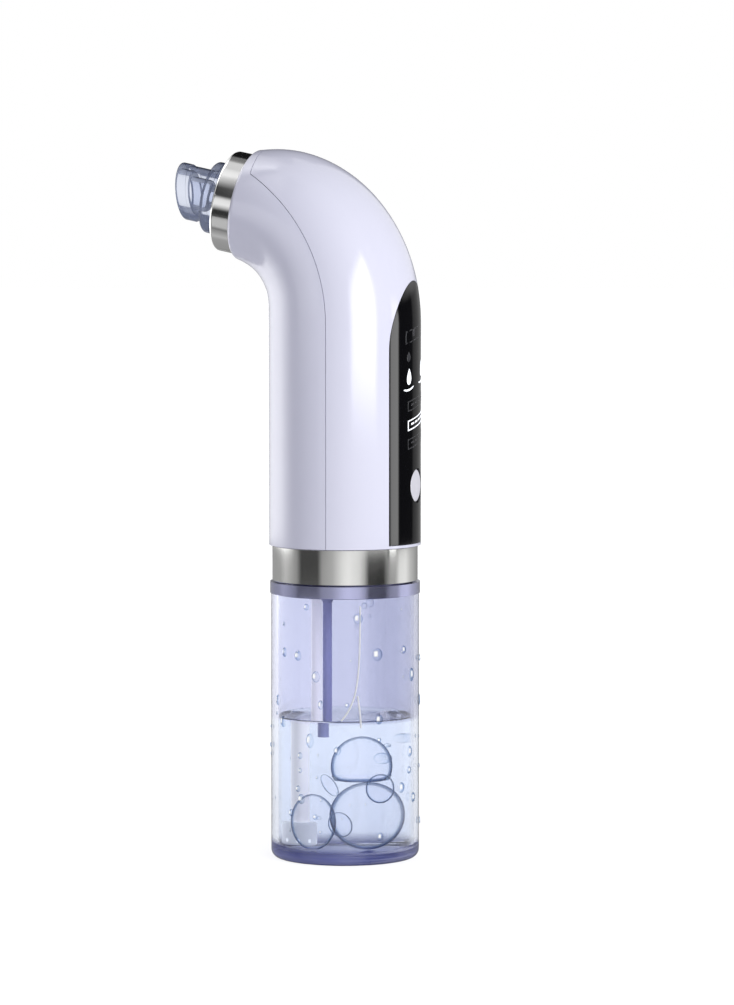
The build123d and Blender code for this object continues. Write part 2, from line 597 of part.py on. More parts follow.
def cup_coupling():
    """The moulding that closes the cup and joins it to the grip, with the return pipe below it."""
    core_z = WAIST_Z - FIT_GAP
    collar_z = SHELL_Z
    top = collar_z + COLLAR_H
    plug_bore = COUPLING_PLUG_R - COUPLING_PLUG_WALL
    core_bore = COUPLING_CORE_R - COUPLING_WALL
    floor_top = PLUG_BOTTOM_Z + COUPLING_FLOOR
    seal_top = SEAL_Z + SEAL_W
    body = turned([(0, PLUG_BOTTOM_Z), (COUPLING_PLUG_R, PLUG_BOTTOM_Z), (COUPLING_PLUG_R, SEAL_Z),
                   (COUPLING_PLUG_R - SEAL_DEPTH, SEAL_Z), (COUPLING_PLUG_R - SEAL_DEPTH, seal_top),
                   (COUPLING_PLUG_R, seal_top), (COUPLING_PLUG_R, core_z), (COUPLING_CORE_R, core_z),
                   (COUPLING_CORE_R, collar_z - FIT_GAP), (COLLAR_R, collar_z - FIT_GAP),
                   (COLLAR_R, RIB_Z), (RIB_R, RIB_Z), (RIB_R, RIB_Z + RIB_T), (COLLAR_R, RIB_Z + RIB_T),
                   (COLLAR_R, top), (core_bore, top),
                   (core_bore, core_z + 1), (plug_bore, core_z - 1), (plug_bore, floor_top), (0, floor_top)])
    root = turned([(0, PLUG_BOTTOM_Z + 0.5), (PIPE_ROOT_R, PLUG_BOTTOM_Z + 0.5), (PIPE_ROOT_R, PLUG_BOTTOM_Z),
                   (RETURN_PIPE_R + 0.5, PLUG_BOTTOM_Z - PIPE_ROOT_H / 2),
                   (RETURN_PIPE_R, PLUG_BOTTOM_Z - PIPE_ROOT_H), (0, PLUG_BOTTOM_Z - PIPE_ROOT_H)])
    x, y = RETURN_XY
    body += Pos(x, y, 0) * root
    body += rod(RETURN_PIPE_R, RETURN_PIPE_END_Z, PLUG_BOTTOM_Z, x, y)
    body += rod(NIPPLE_R, PLUG_BOTTOM_Z - NIPPLE_L, PLUG_BOTTOM_Z, *PICKUP_XY)
    for place in (RETURN_XY, PICKUP_XY):
        body += rod(NIPPLE_R, floor_top, floor_top + NIPPLE_L, *place)
        body -= rod(NIPPLE_BORE_R, PLUG_BOTTOM_Z - NIPPLE_L - 1, floor_top + NIPPLE_L + 1, *place)
    body -= rod(RETURN_PIPE_BORE_R, RETURN_PIPE_END_Z - 1, PLUG_BOTTOM_Z - 1, x, y)
    body -= rod(VENT_R, PLUG_BOTTOM_Z - 1, floor_top + 1, *VENT_XY)
    return body


def cup_seal():
    """The soft ring between the coupling's plug and the cup's bore."""
    inner = COUPLING_PLUG_R - SEAL_DEPTH
    outer = CUP_BORE_R - RUN_GAP
    ring = tube(inner, outer, SEAL_Z + RUN_GAP, SEAL_Z + SEAL_W - RUN_GAP)
    return fillet(ring.edges().filter_by(GeomType.CIRCLE), SEAL_ROUND)


def waist_ring():
    """The metal band between the cup and the grip."""
    ring = tube(WAIST_R - WAIST_WALL, WAIST_R, WAIST_Z, WAIST_TOP)
    outer_edges = [e for e in ring.edges().filter_by(GeomType.CIRCLE) if abs(e.radius - WAIST_R) < NEAR]
    return chamfer(outer_edges, WAIST_EDGE)


def pickup_tube():
    """The tube that reaches down to the water from its nipple under the coupling."""
    tube = rod(PICKUP_R, PICKUP_END_Z, PLUG_BOTTOM_Z, *PICKUP_XY)
    return tube - rod(PICKUP_BORE_R, PICKUP_END_Z - 1, PLUG_BOTTOM_Z + 1, *PICKUP_XY)


def pickup_filter():
    """The slotted strainer on the end of the pick-up tube."""
    top = FILTER_Z + FILTER_H
    body = rod(FILTER_R, FILTER_Z, top)
    body = fillet(body.edges().filter_by(GeomType.CIRCLE), FILTER_ROUND)
    body -= rod(PICKUP_R, PICKUP_END_Z, top + 1)
    chamber = (FILTER_Z + FILTER_WALL, PICKUP_END_Z - FILTER_SEAT)
    body -= rod(FILTER_R - FILTER_WALL, *chamber)
    body -= rod(PICKUP_BORE_R, PICKUP_END_Z - 1, PICKUP_END_Z + 1)
    slot = block((0, -FILTER_SLOT_HALF, chamber[0] + FIT_GAP),
                 (FILTER_R + 1, FILTER_SLOT_HALF, chamber[1] - 2 * FIT_GAP))
    for index in range(FILTER_SLOTS):
        body -= Rot(0, 0, index * 360 / FILTER_SLOTS) * slot
    return Pos(*PICKUP_XY, 0) * body


# ---- button and electronics -------------------------------------------------------------------------
def power_button():
    """The round white button: a domed cap, a retaining flange and a stem on the switch."""
    face_x = HANDLE_R - BUTTON_SINK
    flange_x = CAVITY_R - BUTTON_STOP - BUTTON_FLANGE_T
    cap = rod_x(BUTTON_R, flange_x, face_x, 0, BUTTON_Z)
    cap = fillet(cap.edges().group_by(Axis.X)[-1], BUTTON_ROUND)
    flange = rod_x(BUTTON_FLANGE_R, flange_x, flange_x + BUTTON_FLANGE_T, 0, BUTTON_Z)
    return cap + flange + rod_x(BUTTON_STEM_R, switch_top() + PLUNGER_PROUD, flange_x, 0, BUTTON_Z)


def switch_top():
    """The outer face of the switch on the board."""
    return BOARD_X + BOARD_T + SWITCH_H


def tact_switch():
    """The push switch on the board, with a well for its plunger."""
    face = BOARD_X + BOARD_T
    body = block((face, -SWITCH_HALF, BUTTON_Z - SWITCH_HALF),
                 (switch_top(), SWITCH_HALF, BUTTON_Z + SWITCH_HALF))
    body = fillet(body.edges().filter_by(Axis.X), SWITCH_ROUND)
    well = switch_top() - 2 * BUTTON_TRAVEL - SLIDE_GAP
    return body - rod_x(PLUNGER_R + FIT_GAP, well, switch_top() + 1, 0, BUTTON_Z)


def switch_plunger():
    """The plunger that the button pushes."""
    return rod_x(PLUNGER_R, switch_top() - BUTTON_TRAVEL, switch_top() + PLUNGER_PROUD, 0, BUTTON_Z)


def main_board():
    """The circuit board behind the panel, with its four fixing holes."""
    board = block((BOARD_X, -BOARD_HALF, BOARD_Z[0]), (BOARD_X + BOARD_T, BOARD_HALF, BOARD_Z[1]))
    board = fillet(board.edges().filter_by(Axis.X), BOARD_CORNER)
    for y, z in board_fixings():
        board -= rod_x(SCREW_R, BOARD_X - 1, BOARD_X + BOARD_T + 1, y, z)
    return board


def board_fixings():
    """The places of the board's four screws."""
    return [(y, z) for y in (-POST_Y, POST_Y) for z in POST_Z]


LED_PLACES = ((0.0, 147.9), (-DROP_Y, 137.0), (DROP_Y, 137.0), (0.0, 128.4), (0.0, 123.5), (0.0, 117.5))


def indicator_lamps():
    """The six lamps that light the marks on the panel."""
    face = BOARD_X + BOARD_T
    wide, tall = LAMP_HALF
    lamps = [block((face, y - wide, z - tall), (face + LAMP_H, y + wide, z + tall)) for y, z in LED_PLACES]
    return Compound(children=lamps)


def light_guide():
    """The shroud that keeps each lamp's light to its own mark."""
    face = BOARD_X + BOARD_T
    low, high = WINDOW_Z[0] + SLIDE_GAP, WINDOW_Z[1] - SLIDE_GAP
    body = block((face, -GUIDE_HALF, low), (HANDLE_R, GUIDE_HALF, high))
    body &= rod(HANDLE_R - PANEL_T - GUIDE_GAP, low, high)
    for y, z in LED_PLACES:
        wide = GUIDE_HALF - GUIDE_WALL - abs(y)
        body -= block((face - 1, y - wide, z - CELL_HALF_H), (HANDLE_R, y + wide, z + CELL_HALF_H))
    return body


def screw(shank_r, length):
    """A cross-head screw along X: the underside of the head at x = 0 and the shank towards -X."""
    body = rod_x(SCREW_HEAD_R, 0, SCREW_HEAD_H, 0, 0) + rod_x(shank_r, -length, 0, 0, 0)
    reach = SCREW_HEAD_R * SLOT_REACH
    slot = block((SCREW_HEAD_H / 2, -reach, -SLOT_HALF), (SCREW_HEAD_H + 1, reach, SLOT_HALF))
    return body - slot - Rot(90, 0, 0) * slot


def board_screws():
    """The four screws that hold the board to the frame's posts."""
    return Compound(children=[Pos(BOARD_X + BOARD_T, y, z) * screw(PILOT_R, BOARD_SCREW_L)
                              for y, z in board_fixings()])


def shell_screws():
    """The three screws that pull the shells together, hidden under the panel."""
    return Compound(children=[Pos(TOWER_SPLIT_X + BOSS_WEB, y, z) * screw(PILOT_R, SCREW_L)
                              for y, z in TOWERS])


def battery_cell():
    """The rechargeable cell with its positive cap."""
    low, high = CELL_Z
    cell = rod(CELL_R, low, high - CELL_CAP_H)
    cell = fillet(cell.edges().filter_by(GeomType.CIRCLE), CELL_ROUND)
    cell += rod(CELL_CAP_R, high - 2 * CELL_CAP_H, high)
    return Pos(*CELL_XY, 0) * cell


def oblong(width, height, low, high):
    """A prism along X at the port's height, with rounded ends across."""
    prism = extrude(SlotOverall(width, height, rotation=90), high - low)
    return Pos(low, 0, PORT_Z) * Rot(0, 90, 0) * prism


def charge_socket():
    """The charging receptacle in the front of the grip: a metal shell round a tongue."""
    front = -HANDLE_R + PORT_INSET
    body = oblong(PORT_W, PORT_H, front, front + PORT_L)
    hollow_end = front + PORT_L - PORT_BACK_T
    body -= oblong(PORT_W - 2 * PORT_WALL, PORT_H - 2 * PORT_WALL, front - 1, hollow_end)
    wide, tall = TONGUE_HALF
    body += block((front + TONGUE_INSET, -wide, PORT_Z - tall), (hollow_end + PORT_WALL, wide, PORT_Z + tall))
    return body


def charge_board():
    """The small board that carries the charging receptacle."""
    front = -HANDLE_R + PORT_INSET
    return block((front + CHARGE_BOARD_SETBACK, -CHARGE_BOARD_HALF, shelf_top()),
                 (front + PORT_L + TONGUE_INSET, CHARGE_BOARD_HALF, shelf_top() + CHARGE_BOARD_T))


# ---- inner frame ------------------------------------------------------------------------------------
def inner_frame():
    """The upright plate that holds the cell, the pump and the board's posts."""
    half = sqrt((CAVITY_R - SLIDE_GAP) ** 2 - FRAME_X ** 2)
    low, high = FRAME_X, FRAME_X + FRAME_T
    plate = block((low, -half, FRAME_Z[0]), (high, half, FRAME_Z[1]))
    plate = fillet(plate.edges().filter_by(Axis.X), FRAME_CORNER)
    for y, z in TOWERS:
        if z < FRAME_Z[1]:
            plate -= rod_x(TOWER_R + FIT_GAP, low - 1, high + 1, y, z)
    for y, z in board_fixings():
        plate += rod_x(POST_R, high - FRAME_T / 2, BOARD_X, y, z)
        plate -= rod_x(PILOT_R, BOARD_X + BOARD_T - BOARD_SCREW_L, BOARD_X + 1, y, z)
    for z in CLIP_Z:
        plate += clip(CELL_XY, CELL_R, z, -1, low)
    plate += clip(MOTOR_XY, MOTOR_R, CLIP_Z[0], 1, high)
    return plate


def clip(centre, radius, z, side, root_x):
    """An open ring that snaps round a cylinder, joined to the plate behind it."""
    inner = radius + FIT_GAP
    outer = inner + CLIP_T
    ring = rod(outer, z, z + CLIP_W, *centre) - rod(inner, z - 1, z + CLIP_W + 1, *centre)
    mouth_x = centre[0] + side * radius * CLIP_MOUTH
    mouth = (min(mouth_x, mouth_x + side * 2 * outer), max(mouth_x, mouth_x + side * 2 * outer))
    ring -= block((mouth[0], -2 * outer, z - 1), (mouth[1], 2 * outer, z + CLIP_W + 1))
    keep = (root_x, root_x + side * 3 * outer)
    ring &= block((min(keep), -2 * outer, z), (max(keep), 2 * outer, z + CLIP_W))
    return ring


# ---- pump -------------------------------------------------------------------------------------------
def motor_can():
    """The motor's steel can with its front bush."""
    low, high = MOTOR_Z
    can = turned([(MOTOR_R - MOTOR_WALL, low), (MOTOR_R, low), (MOTOR_R, high), (MOTOR_BOSS_R, high),
                  (MOTOR_BOSS_R, high + MOTOR_BOSS_H), (SHAFT_R + RUN_GAP, high + MOTOR_BOSS_H),
                  (SHAFT_R + RUN_GAP, high - BUSH_L), (MOTOR_R - MOTOR_WALL, high - MOTOR_WALL)])
    return Pos(*MOTOR_XY, 0) * can


def motor_cap():
    """The motor's plastic end cap with its bush and two terminals."""
    low = MOTOR_Z[0]
    cap = turned([(SHAFT_R + RUN_GAP, low - CAP_T), (MOTOR_R, low - CAP_T), (MOTOR_R, low),
                  (MOTOR_R - MOTOR_WALL, low), (MOTOR_R - MOTOR_WALL - FIT_GAP, low + CAP_SPIGOT),
                  (SHAFT_R + RUN_GAP, low + CAP_SPIGOT)])
    wide, thick = TERMINAL_HALF
    for y in (-TERMINAL_Y, TERMINAL_Y):
        cap += block((-wide, y - thick, low - CAP_T - TERMINAL_L), (wide, y + thick, low))
    return Pos(*MOTOR_XY, 0) * cap


def motor_magnets():
    """The two arc magnets in the can."""
    outer = MOTOR_R - MOTOR_WALL
    low, high = MOTOR_Z[0] + MAGNET_INSET, MOTOR_Z[1] - MAGNET_INSET
    ring = rod(outer, low, high) - rod(outer - MAGNET_T, low - 1, high + 1)
    gap = block((-outer, -MAGNET_SPLIT, low), (outer, MAGNET_SPLIT, high))
    return Compound(children=[Pos(*MOTOR_XY, 0) * part for part in (ring - gap).solids()])


def motor_rotor():
    """The shaft with its three-pole core and commutator."""
    low, high = MOTOR_Z
    shaft = rod(SHAFT_R, low - CAP_T + SHAFT_INSET, WHEEL_Z + WHEEL_T)
    core_low, core_high = low + CORE_Z[0], high - CORE_Z[1]
    core = rod(CORE_R, core_low, core_high)
    slot = rod(CORE_SLOT_R, core_low - 1, core_high + 1, x=CORE_SLOT_X)
    slot += block((CORE_SLOT_X, -CORE_MOUTH, core_low - 1), (CORE_R + 1, CORE_MOUTH, core_high + 1))
    for index in range(CORE_POLES):
        core -= Rot(0, 0, (index + 0.5) * 360 / CORE_POLES) * slot
    commutator = rod(COMMUTATOR_R, low + COMMUTATOR_Z, core_low)
    return Pos(*MOTOR_XY, 0) * (shaft + core + commutator)


def pump_eccentric():
    """The drive wheel on the motor shaft, with its off-centre crank pin."""
    top = WHEEL_Z + WHEEL_T
    wheel = rod(WHEEL_R, WHEEL_Z, top)
    wheel = fillet(wheel.edges().filter_by(GeomType.CIRCLE), WHEEL_ROUND)
    wheel += rod(CRANK_R, top, top + CRANK_L, x=CRANK_THROW)
    wheel -= rod(SHAFT_R, WHEEL_Z - 1, top)
    return Pos(*MOTOR_XY, 0) * wheel


def pump_body():
    """The lower half of the pump head, bolted to the motor and open over the drive wheel."""
    low, high = PUMP_Z, PUMP_Z + PUMP_BODY_H
    body = block((-PUMP_HALF_X, -PUMP_HALF_Y, low), (PUMP_HALF_X, PUMP_HALF_Y, high))
    body = fillet(body.edges().filter_by(Axis.Z), PUMP_CORNER)
    body -= rod(PUMP_CAVITY_R, low + PUMP_FLOOR, high + 1)
    body -= rod(MOTOR_BOSS_R + FIT_GAP, low - 1, low + 2)
    for x, y in pump_corners():
        body -= rod(PILOT_R, high - PUMP_SCREW_L, high + 1, x, y)
    return Pos(*MOTOR_XY, 0) * body


def pump_corners():
    """The four screw places round the pump head."""
    return [(x * PUMP_SCREW_OFFSET, y * PUMP_SCREW_OFFSET) for x in (-1, 1) for y in (-1, 1)]


def pump_rocker():
    """The three-armed rocker that the crank pin drives, one arm to each diaphragm cup."""
    top = ROCKER_Z + ROCKER_H
    low = top - ROCKER_ARM_T
    rocker = rod(ROCKER_R, ROCKER_Z, top)
    for index in range(DRIVEN_CUPS):
        arm = block((0, -ROCKER_ARM_HALF, low), (ROCKER_ARM, ROCKER_ARM_HALF, top))
        arm += rod(ROCKER_PAD_R, low, top, x=ROCKER_ARM)
        rocker += Rot(0, 0, index * 360 / DRIVEN_CUPS) * arm
    socket_top = WHEEL_Z + WHEEL_T + CRANK_L + SLIDE_GAP
    rocker -= rod(CRANK_THROW + CRANK_R + ROCKER_PLAY, ROCKER_Z - 1, socket_top)
    return Pos(*MOTOR_XY, 0) * rocker


def pump_diaphragm():
    """The rubber diaphragm sheet with a cup for each arm of the rocker."""
    low = PUMP_Z + PUMP_BODY_H
    high = low + DIAPHRAGM_T
    cup_low = ROCKER_Z + ROCKER_H
    sheet = block((-PUMP_HALF_X, -PUMP_HALF_Y, low), (PUMP_HALF_X, PUMP_HALF_Y, high))
    sheet = fillet(sheet.edges().filter_by(Axis.Z), PUMP_CORNER)
    neck_top = cup_low + DRIVEN_NECK_H
    for index in range(DRIVEN_CUPS):
        turn = Rot(0, 0, index * 360 / DRIVEN_CUPS)
        cup = rod(DRIVEN_R, neck_top, low, x=ROCKER_ARM) + rod(DRIVEN_NECK_R, cup_low, neck_top, x=ROCKER_ARM)
        sheet += turn * cup
        sheet -= turn * rod(DRIVEN_R - DRIVEN_WALL, neck_top + DRIVEN_WALL, high + 1, x=ROCKER_ARM)
    for x, y in pump_corners():
        sheet -= rod(SCREW_R, low - 1, high + 1, x, y)
    return Pos(*MOTOR_XY, 0) * sheet


def pump_cover():
    """The valve cover of the pump head, with its inlet and outlet."""
    low = PUMP_Z + PUMP_BODY_H + DIAPHRAGM_T
    high = low + PUMP_COVER_H
    cover = block((-PUMP_HALF_X, -PUMP_HALF_Y, low), (PUMP_HALF_X, PUMP_HALF_Y, high))
    cover = fillet(cover.edges().filter_by(Axis.Z), PUMP_CORNER)
    cover = chamfer(cover.faces().sort_by(Axis.Z)[-1].edges(), PUMP_CHAMFER)
    for x, y in (PUMP_INLET, PUMP_OUTLET):
        cover += rod(NIPPLE_R, high, high + NIPPLE_L, x, y)
        cover -= rod(NIPPLE_BORE_R, low + 1, high + NIPPLE_L + 1, x, y)
        cover -= rod(VALVE_R, low - 1, low + VALVE_DEPTH, x, y)
    for x, y in pump_corners():
        cover -= rod(SCREW_R, low - 1, high + 1, x, y)
        cover -= rod(SCREW_HEAD_R + FIT_GAP, high - PUMP_SCREW_SINK, high + 1, x, y)
    return Pos(*MOTOR_XY, 0) * cover


def pump_screws():
    """The four screws through the pump cover."""
    seat = PUMP_Z + PUMP_BODY_H + DIAPHRAGM_T + PUMP_COVER_H - PUMP_SCREW_SINK
    upright = Rot(0, -90, 0) * screw(PILOT_R, PUMP_SCREW_L)
    return Compound(children=[Pos(*MOTOR_XY, seat) * Pos(x, y, 0) * upright for x, y in pump_corners()])


# ---- hoses ------------------------------------------------------------------------------------------
def hose(points, share=0.45):
    """A hose along straight runs joined by arcs as large as the runs allow."""
    radii = []
    for before, at, after in zip(points, points[1:], points[2:]):
        came, goes = Vector(*at) - Vector(*before), Vector(*after) - Vector(*at)
        turn = radians(came.get_angle(goes))
        radii.append(share * min(came.length, goes.length) / sin(turn / 2) * cos(turn / 2))
    path = FilletPolyline(*points, radius=radii)
    start = Plane(origin=path @ 0, z_dir=path % 0)
    print("hose radii", [round(r, 1) for r in radii], "length", round(path.length, 1))
    return sweep(start * Circle(HOSE_R), path=path) - sweep(start * Circle(HOSE_BORE_R), path=path)


def port_point(offset, behind):
    """A point behind one of the socket's ports, on that port's axis."""
    base = along(RING_FACE, AXIS, -SOCKET_L - behind)
    place = along(base, AXIS_UP, offset)
    return (place[0], 0.0, place[1])


def pump_port(place):
    """The foot of a hose on one of the pump cover's nipples."""
    x, y = MOTOR_XY[0] + place[0], MOTOR_XY[1] + place[1]
    return (x, y, PUMP_Z + PUMP_BODY_H + DIAPHRAGM_T + PUMP_COVER_H + HOSE_SEAT)


def lane(side, x, z, inset=0.0):
    """A point of a hose that runs up beside the shell, on the -Y or +Y side."""
    reach = CAVITY_R - HOSE_R - LANE_GAP - inset
    return (x, side * sqrt(reach ** 2 - x ** 2), z)


def coupling_port(place):
    """The foot of a hose on one of the coupling's nipples."""
    return (*place, PLUG_BOTTOM_Z + COUPLING_FLOOR + HOSE_SEAT)


def supply_hose():
    """From the pick-up nipple up past the cell to the socket's water port."""
    x, y, low = coupling_port(PICKUP_XY)
    points = [(x, y, low), (x + HOSE_SWAY, y - HOSE_SWAY, low + SUPPLY_FOOT), (x, y, low + 2 * SUPPLY_FOOT)]
    points += [lane(1, *place) for place in SUPPLY_LANE]
    points += [(x, y, BEND_Z + rise) for x, y, rise in SUPPLY_NECK]
    return hose(points + [port_point(-PORT_OFFSET, SUPPLY_LEAD), port_point(-PORT_OFFSET, HOSE_SEAT)])


def suction_hose():
    """From the pump's inlet up to the socket's suction port."""
    x, y, low = pump_port(PUMP_INLET)
    neck_x, neck_y, rise = SUCTION_NECK
    return hose([(x, y, low), (x, y, low + SUCTION_FOOT),
                 (x - SUCTION_SHIFT, y + HOSE_SWAY, low + 2 * SUCTION_FOOT), (neck_x, neck_y, BEND_Z + rise),
                 port_point(PORT_OFFSET, SUCTION_LEAD), port_point(PORT_OFFSET, HOSE_SEAT)])


def return_hose():
    """From the pump's outlet, over the pump and down beside it, to the return nipple."""
    x, y, low = pump_port(PUMP_OUTLET)
    foot, over = RETURN_OVER
    points = [(x, y, low), (x, y, low + foot)]
    points += [(MOTOR_XY[0] + x, y, low + over) for x, y in RETURN_MIDDLE]
    behind = FRAME_X + FRAME_T
    points.append(lane(-1, behind + RETURN_DOWN, low + foot, RETURN_CROSS))
    points += [lane(-1, behind + x, z, RETURN_CROSS) for x, z in RETURN_LANE]
    x, y, end = coupling_port(RETURN_XY)
    return hose(points + [(x, y, end + RETURN_FOOT), (x, y, end)])


# ---- build ------------------------------------------------------------------------------------------
FRONT_SHELL, BACK_SHELL = shells()
PARTS = {
    "front_shell": FRONT_SHELL,
    "back_shell": BACK_SHELL,
    "control_panel": control_panel(),
    "head_ring": head_ring(),
    "tip_socket": tip_socket(),
    "suction_tip": suction_tip(),
    "tip_seal": tip_seal(),
    "waist_ring": waist_ring(),
    "cup_coupling": cup_coupling(),
    "cup_seal": cup_seal(),
    "water_cup": water_cup(),
    "pickup_tube": pickup_tube(),
    "pickup_filter": pickup_filter(),
    "power_button": power_button(),
    "switch_plunger": switch_plunger(),
    "tact_switch": tact_switch(),
    "main_board": main_board(),
    "indicator_lamps": indicator_lamps(),
    "light_guide": light_guide(),
    "board_screws": board_screws(),
    "shell_screws": shell_screws(),
    "battery_cell": battery_cell(),
    "charge_socket": charge_socket(),
    "charge_board": charge_board(),
    "inner_frame": inner_frame(),
    "motor_can": motor_can(),
    "motor_cap": motor_cap(),
    "motor_magnets": motor_magnets(),
    "motor_rotor": motor_rotor(),
    "pump_eccentric": pump_eccentric(),
    "pump_body": pump_body(),
    "pump_rocker": pump_rocker(),
    "pump_diaphragm": pump_diaphragm(),
    "pump_cover": pump_cover(),
    "pump_screws": pump_screws(),
    "supply_hose": supply_hose(),
    "suction_hose": suction_hose(),
    "return_hose": return_hose(),
}
for name, shape in PARTS.items():
    export_step(shape, f"parts/{name}.step")
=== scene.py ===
"""Looks of a hand-held pore vacuum: a clear water cup, a bent two-shell handle and a pull-off tip.

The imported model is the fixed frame: +Z up, the tip towards -X, the control panel towards +X, in metres.
Each sub-assembly is a class that dresses its CAD nodes and models the pieces that the CAD leaves to it.
"""
from dataclasses import dataclass
from enum import Enum
from math import atan2, cos, exp, pi, radians, sin, sqrt
import logging
import random

import bpy
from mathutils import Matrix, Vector


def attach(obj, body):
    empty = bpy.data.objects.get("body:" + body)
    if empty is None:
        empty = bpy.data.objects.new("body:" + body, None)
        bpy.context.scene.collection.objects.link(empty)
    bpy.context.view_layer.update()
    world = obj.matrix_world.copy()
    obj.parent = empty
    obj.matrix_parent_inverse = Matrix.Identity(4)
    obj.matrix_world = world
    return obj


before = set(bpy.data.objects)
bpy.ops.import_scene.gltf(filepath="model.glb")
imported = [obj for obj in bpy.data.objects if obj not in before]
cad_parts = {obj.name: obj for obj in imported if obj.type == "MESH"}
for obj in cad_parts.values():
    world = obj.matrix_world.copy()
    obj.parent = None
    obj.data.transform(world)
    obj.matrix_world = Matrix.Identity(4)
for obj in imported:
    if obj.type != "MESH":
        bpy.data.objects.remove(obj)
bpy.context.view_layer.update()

LOG = logging.getLogger("pore_vacuum")
MM = 0.001
Colour = tuple[float, float, float]
Point = tuple[float, float, float]
Pair = tuple[float, float]
Window = tuple[float, float, float]
Outline = list[tuple[float, float]]
WHITE: Colour = (1.0, 1.0, 1.0)


class Body(Enum):
    """The CAD bodies that new pieces ride on."""

    CUP = "water_cup"
    HANDLE = "handle"


class Slot(Enum):
    """The record's material slots. No piece in this script takes one."""

    CLEAR = "cup_clear"
    BLACK = "panel_black"


def shade(colour: Colour, share: float) -> Colour:
    """A colour times a number."""
    return tuple(channel * share for channel in colour)


# ---- shader graphs ----
class Value:
    """An output socket of a shader graph, on which arithmetic adds Math nodes."""

    def __init__(self, graph: "Graph", socket: bpy.types.NodeSocket) -> None:
        """Keeps the socket and the graph that new nodes go into."""
        self.graph = graph
        self.socket = socket

    def __add__(self, other: "Value | float") -> "Value":
        """Adds."""
        return self.graph.math("ADD", self, other)

    def __sub__(self, other: "Value | float") -> "Value":
        """Subtracts."""
        return self.graph.math("SUBTRACT", self, other)

    def __rsub__(self, other: float) -> "Value":
        """Subtracts this from a number."""
        return self.graph.math("SUBTRACT", other, self)

    def __mul__(self, other: "Value | float") -> "Value":
        """Multiplies."""
        return self.graph.math("MULTIPLY", self, other)

    def __truediv__(self, other: "Value | float") -> "Value":
        """Divides."""
        return self.graph.math("DIVIDE", self, other)

    def __pow__(self, other: "Value | float") -> "Value":
        """Raises to a power."""
        return self.graph.math("POWER", self, other)

    __radd__ = __add__
    __rmul__ = __mul__


